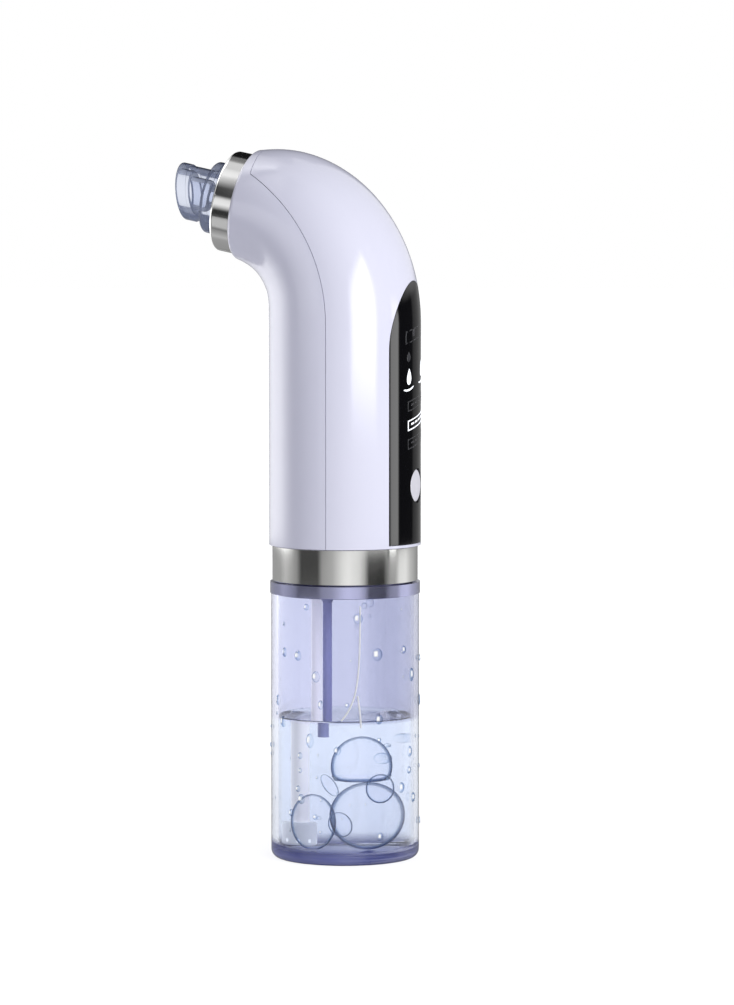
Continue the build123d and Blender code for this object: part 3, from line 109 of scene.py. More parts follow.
class Graph:
    """The node tree of one material or of the world."""

    def __init__(self, owner: bpy.types.ID) -> None:
        """Empties the owner's node tree.

        Args:
            owner: The material or world.
        """
        owner.use_nodes = True
        self.output = "OutputWorld" if isinstance(owner, bpy.types.World) else "OutputMaterial"
        self.tree = owner.node_tree
        self.tree.nodes.clear()

    def node(self, kind: str, settings: dict | None = None, values: dict | None = None,
             output: int | str = 0) -> Value:
        """Adds a node.

        Args:
            kind: The node's type, without its ShaderNode prefix.
            settings: Its properties, set first. "stops" holds a ramp's positions and levels.
            values: Numbers, colours or Values for its inputs, by name or place.
            output: The output that is returned.

        Returns:
            The chosen output.
        """
        made = self.tree.nodes.new("ShaderNode" + kind)
        for name, value in (settings or {}).items():
            if name == "stops":
                self.set_stops(made.color_ramp, value)
            else:
                setattr(made, name, value)
        for key, value in (values or {}).items():
            if isinstance(value, Value):
                self.tree.links.new(value.socket, made.inputs[key])
            elif isinstance(value, tuple) and len(value) == 3 and made.inputs[key].type == "RGBA":
                made.inputs[key].default_value = (*value, 1.0)
            else:
                made.inputs[key].default_value = value
        return Value(self, made.outputs[output])

    @staticmethod
    def set_stops(ramp: bpy.types.ColorRamp, stops: list[Pair]) -> None:
        """Gives a ramp grey stops.

        Args:
            ramp: The ramp.
            stops: Pairs of position and level.
        """
        while len(ramp.elements) < len(stops):
            ramp.elements.new(1.0)
        for element, (place, level) in zip(ramp.elements, stops):
            element.position = place
            element.color = (level, level, level, 1.0)

    def math(self, operation: str, *values: "Value | float") -> Value:
        """Adds a Math node with an operation on its values."""
        return self.node("Math", {"operation": operation}, dict(enumerate(values)))

    def blend(self, factor: "Value | float", first: "Value | Colour", second: "Value | Colour") -> Value:
        """Mixes two colours by the share of the second one."""
        return self.node("Mix", {"data_type": "RGBA"}, {0: factor, 6: first, 7: second}, 2)

    def veil(self, base: Colour, coats: list[tuple[Value, Colour]]) -> Value:
        """A see-through surface whose colour changes from place to place.

        Args:
            base: The first colour.
            coats: Further colours, each after the share of what is under it that it covers.

        Returns:
            The shader.
        """
        shader = self.node("BsdfTransparent", None, {"Color": base})
        for share, over in coats:
            upper = self.node("BsdfTransparent", None, {"Color": over})
            shader = self.node("MixShader", None, {0: share, 1: shader, 2: upper})
        return shader

    def span(self, share: Value, low: float, high: float) -> Value:
        """A number from the low one to the high one, by a share between 0 and 1."""
        return share * (high - low) + low

    def around(self, share: Value, middle: float, spread: float) -> Value:
        """A number that a share between 0 and 1 moves down and up by a part of itself."""
        return self.span(share, middle * (1.0 - spread), middle * (1.0 + spread))

    def rise(self, value: Value, low: float, high: float) -> Value:
        """A smooth step from 0 at the low value to 1 at the high one."""
        settings = {"interpolation_type": "SMOOTHSTEP"}
        return self.node("MapRange", settings, {0: value, 1: low, 2: high})

    def window(self, value: Value, low: float, high: float, soft: float) -> Value:
        """1 between two values and 0 outside them, with soft edges that stand on the values."""
        opens = self.rise(value, low - soft, low + soft)
        return opens * (1.0 - self.rise(value, high - soft, high + soft))

    def place(self, turn: Point = (0.0, 0.0, 0.0), shift: Point = (0.0, 0.0, 0.0)) -> Value:
        """Object coordinates, turned by angles in radians and then shifted."""
        source = self.node("TexCoord", output="Object")
        return self.node("Mapping", None, {"Vector": source, "Rotation": turn, "Location": shift})

    def split(self, vector: Value) -> tuple[Value, Value, Value]:
        """The three parts of a vector."""
        parts = self.node("SeparateXYZ", None, {0: vector}).socket.node
        return tuple(Value(self, output) for output in parts.outputs)

    def noise(self, vector: Value, scale: float, detail: float = 2.0) -> Value:
        """Noise between 0 and 1 at a scale per metre."""
        return self.node("TexNoise", None, {"Vector": vector, "Scale": scale, "Detail": detail})

    def bump(self, height: Value, strength: float, distance: float) -> Value:
        """A normal from a height, with the distance in metres that a height of 1 stands for."""
        return self.node("Bump", None, {"Height": height, "Strength": strength, "Distance": distance})

    def facing(self) -> Value:
        """How far the surface turns away from the ray: 0 where it faces it and 1 at its outline."""
        return self.node("LayerWeight", None, {"Blend": 0.5}, "Facing")

    def mirror(self, blend: float) -> Value:
        """The share that a clear surface mirrors, more as it turns away."""
        return self.node("LayerWeight", None, {"Blend": blend}, "Fresnel")

    def seen(self, *rays: str) -> Value:
        """1 for rays of the named kinds, such as Camera, and 0 for others."""
        total = self.node("LightPath", output=f"Is {rays[0]} Ray")
        for ray in rays[1:]:
            total = total + self.node("LightPath", output=f"Is {ray} Ray")
        return self.math("MINIMUM", total, 1.0)

    def surface(self, shader: Value) -> None:
        """Makes a shader what the material or world shows."""
        made = self.tree.nodes.new("ShaderNode" + self.output)
        self.tree.links.new(shader.socket, made.inputs["Surface"])


# ---- finishes ----
@dataclass(frozen=True)
class Finish:
    """What every finish has: the name of its material and its colour."""

    name: str
    colour: Colour

    def material(self) -> bpy.types.Material:
        """The material, made the first time that it is asked for."""
        name = self.name + "_finish"
        made = bpy.data.materials.get(name)
        if made is None:
            made = bpy.data.materials.new(name)
            graph = Graph(made)
            graph.surface(self.shader(graph))
        return made

    def shader(self, graph: Graph) -> Value:
        """Builds the surface shader in a graph and returns it."""
        raise NotImplementedError


@dataclass(frozen=True)
class Moulded(Finish):
    """Moulded plastic: a little uneven in tone and gloss, with a faint ripple. Scales are per metre. Its glow
    is painted light: the part shines though it is no lamp.
    """

    roughness: float = 0.3
    spread: float = 0.1
    tone: float = 0.03
    cloud_scale: float = 60.0
    ripple: float = 0.1
    ripple_scale: float = 900.0
    ripple_depth: float = 0.02 * MM
    # Painted light: a glow for a part that is no lamp.
    glow: float = 0.0

    def shader(self, graph: Graph) -> Value:
        """Builds the shader."""
        where = graph.place()
        cloud = graph.noise(where, self.cloud_scale)
        height = graph.noise(where, self.ripple_scale, 3.0)
        return graph.node("BsdfPrincipled", None, {
            "Base Color": graph.blend(cloud, shade(self.colour, 1.0 - self.tone), self.colour),
            "Roughness": graph.around(graph.noise(where, self.ripple_scale), self.roughness, self.spread),
            "Normal": graph.bump(height, self.ripple, self.ripple_depth),
            "Emission Color": self.colour,
            "Emission Strength": self.glow,
        })


@dataclass(frozen=True)
class Steel(Finish):
    """Metal with fine turning lines round an axis in the X-Z plane. Scales are per metre."""

    roughness: float = 0.2
    spread: float = 0.2
    lean: float = 0.0
    dull: float = 0.93
    cloud_scale: float = 120.0
    line_strength: float = 0.15
    line_scale: float = 9000.0
    line_depth: float = 0.003 * MM

    def shader(self, graph: Graph) -> Value:
        """Builds the shader."""
        where = graph.place(turn=(0.0, self.lean, 0.0))
        _, _, height = graph.split(where)
        line = graph.node("TexNoise", {"noise_dimensions": "1D"},
                          {"W": height, "Scale": self.line_scale, "Detail": 3.0})
        cloud = graph.noise(where, self.cloud_scale)
        return graph.node("BsdfPrincipled", None, {
            "Base Color": graph.blend(cloud, shade(self.colour, self.dull), self.colour),
            "Metallic": 1.0,
            "Roughness": graph.around(line, self.roughness, self.spread),
            "Normal": graph.bump(line, self.line_strength, self.line_depth),
        })


@dataclass(frozen=True)
class Clear(Finish):
    """Clear plastic or glass. Lamps shine through it with a part of its tint."""

    index: float = 1.49
    tone: float = 0.02
    cloud_scale: float = 80.0
    lamp_tint: float = 0.2

    def tint(self, graph: Graph) -> Value:
        """The colour that a wall gives to what is seen through it."""
        cloud = graph.noise(graph.place(), self.cloud_scale)
        return graph.blend(cloud, shade(self.colour, 1.0 - self.tone), self.colour)

    def shader(self, graph: Graph) -> Value:
        """Builds the shader."""
        glass = graph.node("BsdfPrincipled", None, {
            "Base Color": self.tint(graph),
            "Transmission Weight": 1.0,
            "IOR": self.index,
            "Roughness": 0.0,
        })
        passed = tuple(1.0 - self.lamp_tint * (1.0 - channel) for channel in self.colour)
        lamp_light = graph.node("BsdfTransparent", None, {"Color": passed})
        shadow = graph.node("LightPath", output="Is Shadow Ray")
        return graph.node("MixShader", None, {0: shadow, 1: glass, 2: lamp_light})


@dataclass(frozen=True)
class TipResin(Finish):
    """The tip's clear resin, with painted shade: greyer where a wall turns away, and a painted dark
    reflection along the top.
    """

    # The painted shade's colours: grey where a wall turns away, dark along the top.
    grey: Colour = (0.74, 0.77, 0.84)
    dark: Colour = (0.03, 0.05, 0.12)
    turned: Pair = (0.5, 0.85)
    painted_edge_shade: Pair = (0.05, 0.90)
    top_z: Pair = (184.0 * MM, 194.5 * MM)
    roughness: Pair = (0.04, 0.08)
    cloud_scale: float = 300.0
    mirror_blend: float = 0.25

    def shader(self, graph: Graph) -> Value:
        """Builds the shader."""
        _, _, z = graph.split(graph.place())
        facing = graph.facing()
        # Painted shade: grey on the walls that turn away, and a painted dark reflection along the top.
        painted_edge_shade = graph.rise(facing, *self.turned) * graph.span(graph.rise(z, *self.top_z), *self.painted_edge_shade)
        see = graph.veil(self.colour, [(facing ** 0.8, self.grey), (painted_edge_shade, self.dark)])
        gloss = graph.node("BsdfPrincipled", None, {
            "Base Color": graph.blend(painted_edge_shade, self.grey, self.dark),
            "Roughness": graph.span(graph.noise(graph.place(), self.cloud_scale), *self.roughness),
        })
        share = graph.mirror(self.mirror_blend) * (1.0 - painted_edge_shade * 0.7)
        return graph.node("MixShader", None, {0: share, 1: see, 2: gloss})


@dataclass(frozen=True)
class CupResin(Clear):
    """The cup's violet resin: paler round the water, with painted shade towards the panel's side, a painted
    dark band of shade at the foot, and a silvery rim.
    """

    water_colour: Colour = (0.80, 0.84, 0.93)
    # The colour of the painted shade towards the panel's side.
    side_shade_colour: Colour = (0.36, 0.38, 0.52)
    # The colour of the painted dark band of shade at the foot.
    foot_shade_colour: Colour = (0.14, 0.16, 0.43)
    rim_colour: Colour = (0.44, 0.45, 0.66)
    near_x: Pair = (-3.0 * MM, 6.0 * MM)
    far_x: Pair = (10.0 * MM, 20.0 * MM)
    water_z: Pair = (39.4 * MM, 40.2 * MM)
    foot_z: Pair = (1.5 * MM, 6.5 * MM)
    foot_x: Pair = (2.0 * MM, 20.0 * MM)
    foot_share: Pair = (0.85, 0.45)
    rim_z: Pair = (75.0 * MM, 75.2 * MM)
    rim_share: float = 0.9
    rim_roughness: Pair = (0.08, 0.14)
    rim_scale: float = 200.0

    def tint(self, graph: Graph) -> Value:
        """The colour of the wall, by height, with painted shade towards the panel's side."""
        x, _, z = graph.split(graph.place())
        # Painted shade: the wall darkens towards the panel's side.
        side_shade = graph.rise(x, *self.near_x) * 0.25 + graph.rise(x, *self.far_x) * 0.2
        wet = 1.0 - graph.rise(z, *self.water_z)
        return graph.blend(wet, graph.blend(side_shade, self.colour, self.side_shade_colour), self.water_colour)

    def shader(self, graph: Graph) -> Value:
        """Builds the shader: the clear wall, the painted dark band of shade at the foot and the silvery rim.
        """
        x, _, z = graph.split(graph.place())
        # Painted shade: an opaque dark violet band at the foot, heavier away from the panel's side.
        foot_shade_shader = graph.node("BsdfPrincipled", None, {"Base Color": self.foot_shade_colour, "Roughness": 0.08})
        silver = graph.node("BsdfPrincipled", None, {
            "Base Color": self.rim_colour,
            "Metallic": 0.9,
            "Roughness": graph.span(graph.noise(graph.place(), self.rim_scale), *self.rim_roughness),
        })
        foot_shade_by_side = graph.span(graph.rise(x, *self.foot_x), *self.foot_share)
        painted_foot_shade = (1.0 - graph.rise(z, *self.foot_z)) * foot_shade_by_side
        wall = graph.node("MixShader", None, {0: painted_foot_shade, 1: super().shader(graph), 2: foot_shade_shader})
        rim = graph.rise(z, *self.rim_z) * self.rim_share
        return graph.node("MixShader", None, {0: rim, 1: wall, 2: silver})


@dataclass(frozen=True)
class Bubble(Finish):
    """A bubble's skin with painted shade: pale in the middle, blue towards its outline and its low side, and
    dark where it turns away.

    A painted highlight, a white glowing spot on its left side, is placed by the UV map's share round and up.
    """

    blue: Colour = (0.40, 0.58, 0.78)
    line: Colour = (0.06, 0.12, 0.30)
    spread: float = 3.2
    painted_foot_shade: float = 1.5
    turned: Pair = (0.42, 0.86)
    # The painted highlight: its strength and where it sits.
    painted_glint: float = 0.0
    painted_glint_round: Window = (0.12, 0.24, 0.03)
    painted_glint_up: Window = (0.42, 0.70, 0.06)
    mirror_blend: float = 0.12

    def shader(self, graph: Graph) -> Value:
        """Builds the shader."""
        facing = graph.facing()
        around, up, _ = graph.split(graph.node("TexCoord", output="UV"))
        # Painted shade: the blue and the dark outline grow heavier towards the low side; a negative weight
        # moves them to the top.
        weight = 1.0 + (0.5 - up) * self.painted_foot_shade
        blue = graph.math("MINIMUM", facing ** self.spread * weight, 1.0)
        dark = graph.math("MINIMUM", graph.rise(facing, *self.turned) * weight, 1.0)
        see = graph.veil(self.colour, [(blue, self.blue), (dark, self.line)])
        gloss = graph.node("BsdfPrincipled", None, {"Base Color": self.blue, "Roughness": 0.03})
        skin = graph.node("MixShader", None, {0: graph.mirror(self.mirror_blend) * 0.5, 1: see, 2: gloss})
        # Painted highlight: a white glowing spot on the left side.
        light = graph.node("Emission", None, {"Color": WHITE, "Strength": 1.0})
        painted_glint_spot = graph.window(around, *self.painted_glint_round) * graph.window(up, *self.painted_glint_up) * self.painted_glint
        return graph.node("MixShader", None, {0: painted_glint_spot, 1: skin, 2: light})


@dataclass(frozen=True)
class Trail(Finish):
    """A thin trail of water, painted white as a highlight."""

    dull: float = 0.94
    opening: Pair = (0.5, 0.8)
    cloud_scale: float = 300.0

    def shader(self, graph: Graph) -> Value:
        """Builds the shader."""
        cloud = graph.noise(graph.place(), self.cloud_scale)
        return graph.node("BsdfPrincipled", None, {
            "Base Color": graph.blend(cloud, shade(self.colour, self.dull), self.colour),
            "Roughness": 0.15,
            "Alpha": graph.span(cloud, *self.opening),
        })


@dataclass(frozen=True)
class Lit(Finish):
    """A mark behind the panel's window that its lamp lights."""

    strength: float = 1.0
    dull: float = 0.92
    cloud_scale: float = 500.0

    def shader(self, graph: Graph) -> Value:
        """Builds the shader."""
        cloud = graph.noise(graph.place(), self.cloud_scale)
        glow = graph.blend(cloud, shade(self.colour, self.dull), self.colour)
        return graph.node("BsdfPrincipled", None, {
            "Base Color": glow,
            "Emission Color": glow,
            "Emission Strength": self.strength,
            "Roughness": 0.35,
        })


@dataclass(frozen=True)
class Laminate(Finish):
    """Circuit board: a glossy green mask over copper tracks."""

    lighter: float = 1.7
    track_scale: float = 240.0
    track_edge: Pair = (0.62, 0.70)
    track_height: float = 0.03 * MM
    roughness: Pair = (0.28, 0.38)

    def shader(self, graph: Graph) -> Value:
        """Builds the shader."""
        tracks = graph.node("TexWave", {"bands_direction": "Z"}, {
            "Vector": graph.place(), "Scale": self.track_scale, "Distortion": 6.0, "Detail": 0.0}, 1)
        line = graph.rise(tracks, *self.track_edge)
        return graph.node("BsdfPrincipled", None, {
            "Base Color": graph.blend(line, self.colour, shade(self.colour, self.lighter)),
            "Roughness": graph.span(line, *self.roughness),
            "Normal": graph.bump(line, 0.4, self.track_height),
        })


SHELL_WHITE = Moulded("shell_white_gloss", (0.765, 0.77, 0.90), roughness=0.13, tone=0.015, ripple=0.05)
PANEL_BLACK = Moulded("panel_black_gloss", (0.003, 0.003, 0.004), roughness=0.05, ripple=0.01)
RING_STEEL = Steel("ring_steel_satin", (0.63, 0.63, 0.62), roughness=0.09)
HEAD_STEEL = Steel("head_steel_satin", (0.64, 0.64, 0.64), roughness=0.10, lean=radians(90 - 11.8))
SOCKET_GREY = Moulded("socket_grey", (0.42, 0.42, 0.46), roughness=0.35)
TIP_CLEAR = TipResin("tip_resin", (0.88, 0.90, 0.96))
SEAL_RUBBER = Moulded("seal_silicone", (0.62, 0.62, 0.68), roughness=0.5, ripple=0.3)
COUPLING_VIOLET = Moulded("coupling_violet", (0.32, 0.33, 0.62), roughness=0.15, tone=0.06)
CUP_CLEAR = CupResin("cup_violet_resin", (0.74, 0.76, 0.885))
WATER_CLEAR = Clear("water", (0.97, 0.985, 1.0), index=1.33)
# Painted shade at the outline on the drops and bubbles, and a painted highlight on the drops.
DROPLET_CLEAR = Bubble("droplet", WHITE, blue=(0.70, 0.80, 0.90), line=(0.36, 0.46, 0.62),
                       spread=0.6, painted_foot_shade=-0.9, turned=(0.12, 0.5), painted_glint=0.9)
BUBBLE_SKIN = Bubble("bubble_skin", (0.985, 0.985, 1.0))
TRAIL_HIGHLIGHT = Trail("trail_white", (0.97, 0.98, 1.0))
# The tube and the filter glow with painted light, in place of the lamp light that the tinted cup holds back.
TUBE_CREAM = Moulded("tube_cream", (0.95, 0.92, 0.92), roughness=0.3, glow=0.35)
FILTER_WHITE = Moulded("filter_white", (0.92, 0.93, 0.95), roughness=0.45, glow=0.25)
BUTTON_WHITE = Moulded("button_white", (0.84, 0.83, 0.90), roughness=0.22)
SWITCH_BLACK = Moulded("switch_black", (0.02, 0.02, 0.02), roughness=0.4)
BOARD_GREEN = Laminate("board_green", (0.01, 0.10, 0.035))
LAMP_WHITE = Moulded("lamp_white", (0.85, 0.85, 0.75), roughness=0.3)
GUIDE_GREY = Moulded("guide_grey", (0.25, 0.25, 0.26), roughness=0.5)
SCREW_STEEL = Steel("screw_steel", (0.50, 0.49, 0.47), roughness=0.3)
CELL_WRAP = Moulded("cell_wrap", (0.05, 0.12, 0.40), roughness=0.25)
PORT_METAL = Steel("port_metal", (0.55, 0.55, 0.55), roughness=0.25)
FRAME_PLASTIC = Moulded("frame_plastic", (0.75, 0.75, 0.74), roughness=0.45)
MOTOR_STEEL = Steel("motor_steel", (0.55, 0.55, 0.56), roughness=0.3)
MOTOR_PLASTIC = Moulded("motor_plastic", (0.85, 0.84, 0.80), roughness=0.4)
MAGNET_GREY = Moulded("magnet_grey", (0.06, 0.06, 0.065), roughness=0.6)
ROTOR_COPPER = Steel("rotor_copper", (0.72, 0.33, 0.18), roughness=0.35)
PUMP_PLASTIC = Moulded("pump_plastic", (0.03, 0.03, 0.035), roughness=0.4)
DIAPHRAGM_RUBBER = Moulded("diaphragm_rubber", (0.03, 0.03, 0.03), roughness=0.7, ripple=0.3)
HOSE_SILICONE = Moulded("hose_silicone", (0.80, 0.80, 0.80), roughness=0.35)
MARK_LIT = Lit("mark_lit", (0.92, 0.95, 1.0), 0.9)
MARK_DIM = Lit("mark_dim", (0.035, 0.035, 0.04), 0.0)


# ---- modelling ----
class Bench:
    """The modelling moves that the pieces share, each on the active object."""

    @staticmethod
    def begin(name: str) -> None:
        """Names the primitive that was just added and opens it in edit mode, all selected.

        Args:
            name: The piece's name.
        """
        piece = bpy.context.object
        piece.name = piece.data.name = name
        bpy.ops.object.mode_set(mode="EDIT")
        bpy.ops.mesh.select_all(action="SELECT")

    @staticmethod
    def clear() -> None:
        """Deselects everything, in object mode."""
        if bpy.context.object is not None and bpy.context.object.mode != "OBJECT":
            bpy.ops.object.mode_set(mode="OBJECT")
        bpy.ops.object.select_all(action="DESELECT")

    @staticmethod
    def end(smooth_angle: float = 40.0) -> bpy.types.Object:
        """Leaves edit mode, cleans the mesh, puts the piece's place in its mesh and smooths it.

        Args:
            smooth_angle: Edges sharper than this, in degrees, stay sharp.

        Returns:
            The finished object.
        """
        bpy.ops.mesh.select_all(action="SELECT")
        bpy.ops.mesh.remove_doubles(threshold=1e-6)
        bpy.ops.mesh.normals_make_consistent(inside=False)
        bpy.ops.object.mode_set(mode="OBJECT")
        bpy.ops.object.transform_apply(location=True, rotation=True, scale=True)
        bpy.ops.object.shade_smooth_by_angle(angle=radians(smooth_angle))
        return bpy.context.object

    @staticmethod
    def trace(name: str, outline: Outline) -> None:
        """Draws an outline in the X-Z plane as a chain of edges and leaves it open in edit mode.

        Args:
            name: The piece's name.
            outline: Points of X and Z.
        """
        Bench.clear()
        bpy.ops.mesh.primitive_plane_add(size=MM, location=(0, 0, 0))
        Bench.begin(name)
        bpy.ops.mesh.merge(type="CENTER")
        bpy.ops.transform.translate(value=(outline[0][0], 0, outline[0][1]))
        for before, after in zip(outline, outline[1:]):
            step = (after[0] - before[0], 0, after[1] - before[1])
            bpy.ops.mesh.extrude_region_move(TRANSFORM_OT_translate={"value": step})
        bpy.ops.mesh.select_all(action="SELECT")

    @staticmethod
    def modify(kind: str, **settings: object) -> None:
        """Adds a modifier to the active object and applies it.

        Args:
            kind: The modifier's type.
            settings: Its properties.
        """
        modifier = bpy.context.object.modifiers.new(kind, kind)
        for name, value in settings.items():
            setattr(modifier, name, value)
        bpy.ops.object.modifier_apply(modifier=modifier.name)


def hand_over(piece: bpy.types.Object, body: Body, finish: Finish) -> None:
    """Gives a new piece its material, its body and its material slot, and reports it.

    Args:
        piece: The piece.
        body: The CAD body that it rides on.
        finish: Its finish.
    """
    piece.data.materials.clear()
    piece.data.materials.append(finish.material())
    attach(piece, body.value)
    LOG.info("%s: %d faces on %s", piece.name, len(piece.data.polygons), body.value)


def dress(finishes: dict[str, Finish]) -> None:
    """Gives CAD nodes their finishes.

    Args:
        finishes: The finish of each node.
    """
    for node, finish in finishes.items():
        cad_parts[node].material_slots[0].material = finish.material()
        LOG.info("%s: %s", node, finish.name)


# ---- the cup ----
@dataclass
class Drop:
    """A drop on the cup's outside: degrees round from the front, millimetres, and its height by its width."""

    angle: float
    height: float
    radius: float
    tall: float = 1.15


@dataclass
class BubbleShape:
    """A large bubble, in millimetres: its middle right of and behind the cup's axis, and its half sizes.

    It may be cut flat at a height, where it sits on another, and lean by an angle in radians.
    """

    across: float
    behind: float
    height: float
    half: Point
    floor: float | None = None
    lean: float = 0.0


LARGE_BUBBLES = (
    BubbleShape(3.6, -1.0, 26.4, (6.7, 6.0, 8.5), floor=22.3),
    BubbleShape(4.9, -1.0, 12.5, (8.3, 7.6, 9.5)),
    BubbleShape(8.7, -9.5, 20.9, (3.7, 3.4, 4.1)),
    BubbleShape(-7.2, -3.0, 10.9, (5.2, 5.0, 7.9)),
    BubbleShape(-1.2, -10.0, 10.9, (2.9, 2.6, 3.6), lean=-0.35),
    BubbleShape(-3.6, -6.0, 21.6, (1.5, 1.6, 3.4), lean=-0.5),
)
FRONT_DROPS = (
    Drop(-31, 72.6, 0.8), Drop(10, 69.6, 1.3), Drop(-54, 59.4, 0.9, 1.5), Drop(-39, 58.8, 1.2),
    Drop(25.5, 59.4, 1.6, 1.1), Drop(51.5, 60.2, 1.0), Drop(63, 52.8, 1.2, 1.6), Drop(-23, 53.2, 1.2, 1.3),
    Drop(-19, 45.4, 0.8, 1.6), Drop(-64, 45.6, 1.0, 1.5), Drop(1.5, 45.4, 0.6), Drop(27, 41.2, 1.2),
    Drop(-56, 39.8, 1.3, 1.2), Drop(-28, 35.2, 1.2, 1.7), Drop(-6, 32.6, 1.0), Drop(27, 35.4, 0.6),
    Drop(60, 31.2, 1.1, 1.4), Drop(-37, 30.8, 0.8), Drop(-37, 26.6, 0.6), Drop(-39, 21.4, 0.8),
    Drop(-36, 18.6, 1.2), Drop(-46, 14.4, 0.9), Drop(49, 21.4, 1.3), Drop(66, 18.0, 1.2),
    Drop(28, 8.2, 1.0), Drop(-23.5, 13.8, 0.7), Drop(59, 26.0, 0.9), Drop(-55, 67.4, 0.5),
)
TRAILS = {
    "trail_long": ((11.6, 73), (11.4, 62), (11.2, 51), (9.0, 46), (-3.0, 41)),
    "trail_short": ((9.6, 48), (10.4, 46), (11.2, 44), (11.8, 42), (12.2, 39)),
}


@dataclass
class Cup:
    """The clear cup with the water, its bubbles, and the drops and trails on its wall."""

    bore: float = 18.9 * MM
    outside: float = 20.9 * MM
    floor: float = 2.6 * MM
    corner: float = 2.0 * MM
    corner_steps: int = 6
    level: float = 39.8 * MM
    gap: float = 0.05 * MM
    meniscus: float = 0.9 * MM
    creep: float = 1.1 * MM
    creep_steps: int = 12
    turn_steps: int = 96
    flat_edge: float = 1.6 * MM
    view: float = radians(18)
    seed: int = 7
    side_drops: int = 34
    side_angles: Pair = (75, 285)
    side_heights: Pair = (6, 72)
    side_radii: tuple[float, ...] = (0.4, 0.5, 0.7, 0.9, 1.3)
    side_tall: Pair = (1.0, 1.4)
    fine_drops: int = 16
    fine_angles: Pair = (-70, 70)
    fine_heights: Pair = (8, 72)
    fine_radii: Pair = (0.25, 0.4)
    swell: float = 0.55
    most_swell: float = 0.45 * MM
    bite: float = 0.02 * MM
    trail_radius: float = 0.28 * MM

    def build(self) -> None:
        """Dresses the cup and makes what is in it and on it."""
        dress({"water_cup": CUP_CLEAR, "cup_coupling": COUPLING_VIOLET, "cup_seal": SEAL_RUBBER,
               "pickup_tube": TUBE_CREAM, "pickup_filter": FILTER_WHITE})
        self.water()
        self.large_bubbles()
        self.drops()
        self.trails()

    def painted_glint_spot(self, shape: BubbleShape) -> Vector:
        """The middle of a bubble, which is placed as it is seen from the front."""
        across, behind = shape.across * MM, shape.behind * MM
        return Vector((across * cos(self.view) - behind * sin(self.view),
                       across * sin(self.view) + behind * cos(self.view), shape.height * MM))

    def water(self) -> None:
        """The water, rounded at the floor as the cup is, with its surface drawn up at the wall."""
        radius = self.bore - self.gap
        low = self.floor + self.gap
        centre = (radius - self.corner, low + self.corner)
        outline = [(0.0, low)]
        for index in range(self.corner_steps + 1):
            angle = radians(90 * index / self.corner_steps - 90)
            outline.append((centre[0] + self.corner * cos(angle), centre[1] + self.corner * sin(angle)))
        for index in range(self.creep_steps + 1):
            away = 6 * self.creep * (index / self.creep_steps) ** 2
            outline.append((radius - away, self.level + self.meniscus * exp(-away / self.creep)))
        outline.append((0.0, self.level))
        Bench.trace("water", outline)
        bpy.ops.mesh.spin(steps=self.turn_steps, angle=2 * pi, center=(0, 0, 0), axis=(0, 0, 1))
        hand_over(Bench.end(), Body.CUP, WATER_CLEAR)

    def large_bubbles(self) -> None:
        """The large bubbles that stand in the water."""
        for index, shape in enumerate(LARGE_BUBBLES):
            Bench.clear()
            place = self.painted_glint_spot(shape)
            half = tuple(size * MM for size in shape.half)
            bpy.ops.mesh.primitive_uv_sphere_add(segments=64, ring_count=40, radius=1.0, scale=half,
                                                 location=place, rotation=(0, shape.lean, self.view))
            Bench.begin(f"bubble_{index + 1}")
            if shape.floor is not None:
                bpy.ops.mesh.bisect(plane_co=(place.x, place.y, shape.floor * MM), plane_no=(0, 0, 1),
                                    use_fill=True, clear_inner=True)
                bpy.ops.mesh.bevel(offset=self.flat_edge, segments=8)
            hand_over(Bench.end(), Body.CUP, BUBBLE_SKIN)

    def drops(self) -> None:
        """The drops on the outside of the wall: the large ones at the front listed one by one, the rest at
        random.
        """
        drops = list(FRONT_DROPS)
        draw = random.Random(self.seed)
        for _ in range(self.side_drops):
            radius = draw.choice(self.side_radii)
            drops.append(Drop(draw.uniform(*self.side_angles), draw.uniform(*self.side_heights), radius,
                              draw.uniform(*self.side_tall)))
        for _ in range(self.fine_drops):
            drops.append(Drop(draw.uniform(*self.fine_angles), draw.uniform(*self.fine_heights),
                              draw.uniform(*self.fine_radii)))
        pieces = [self.one_drop(drop) for drop in drops]
        Bench.clear()
        for piece in pieces:
            piece.select_set(True)
        bpy.context.view_layer.objects.active = pieces[0]
        bpy.ops.object.join()
        pieces[0].name = pieces[0].data.name = "wall_drops"
        hand_over(pieces[0], Body.CUP, DROPLET_CLEAR)

    def one_drop(self, drop: Drop) -> bpy.types.Object:
        """A shallow drop that sits on the wall.

        Args:
            drop: Where and how large it is.

        Returns:
            The piece.
        """
        Bench.clear()
        radius = drop.radius * MM
        swell = min(self.swell * radius, self.most_swell)
        sink = radius ** 2 / (2 * self.outside) + self.bite
        turn = radians(drop.angle) + self.view
        bpy.ops.mesh.primitive_uv_sphere_add(segments=20, ring_count=12, radius=1.0,
                                             scale=(radius, swell + sink, radius * drop.tall))
        Bench.begin("drop")
        bpy.ops.mesh.bisect(plane_co=(0, 0, 0), plane_no=(0, -1, 0), use_fill=True, clear_inner=True)
        bpy.ops.mesh.select_all(action="SELECT")
        bpy.ops.transform.translate(value=(0, -(self.outside - sink), drop.height * MM))
        bpy.ops.transform.rotate(value=-turn, orient_axis="Z", center_override=(0, 0, 0))
        return Bench.end(smooth_angle=60)

    def trails(self) -> None:
        """Two thin trails of water that have run down the front of the wall."""
        for name, places in TRAILS.items():
            Bench.clear()
            bpy.ops.curve.primitive_nurbs_path_add()
            curve = bpy.context.object.data
            for point, (angle, height) in zip(curve.splines[0].points, places):
                turn = radians(angle) + self.view
                point.co = (sin(turn) * self.outside, -cos(turn) * self.outside, height * MM, 1.0)
            curve.bevel_depth = self.trail_radius
            bpy.ops.object.convert(target="MESH")
            Bench.begin(name)
            hand_over(Bench.end(), Body.CUP, TRAIL_HIGHLIGHT)


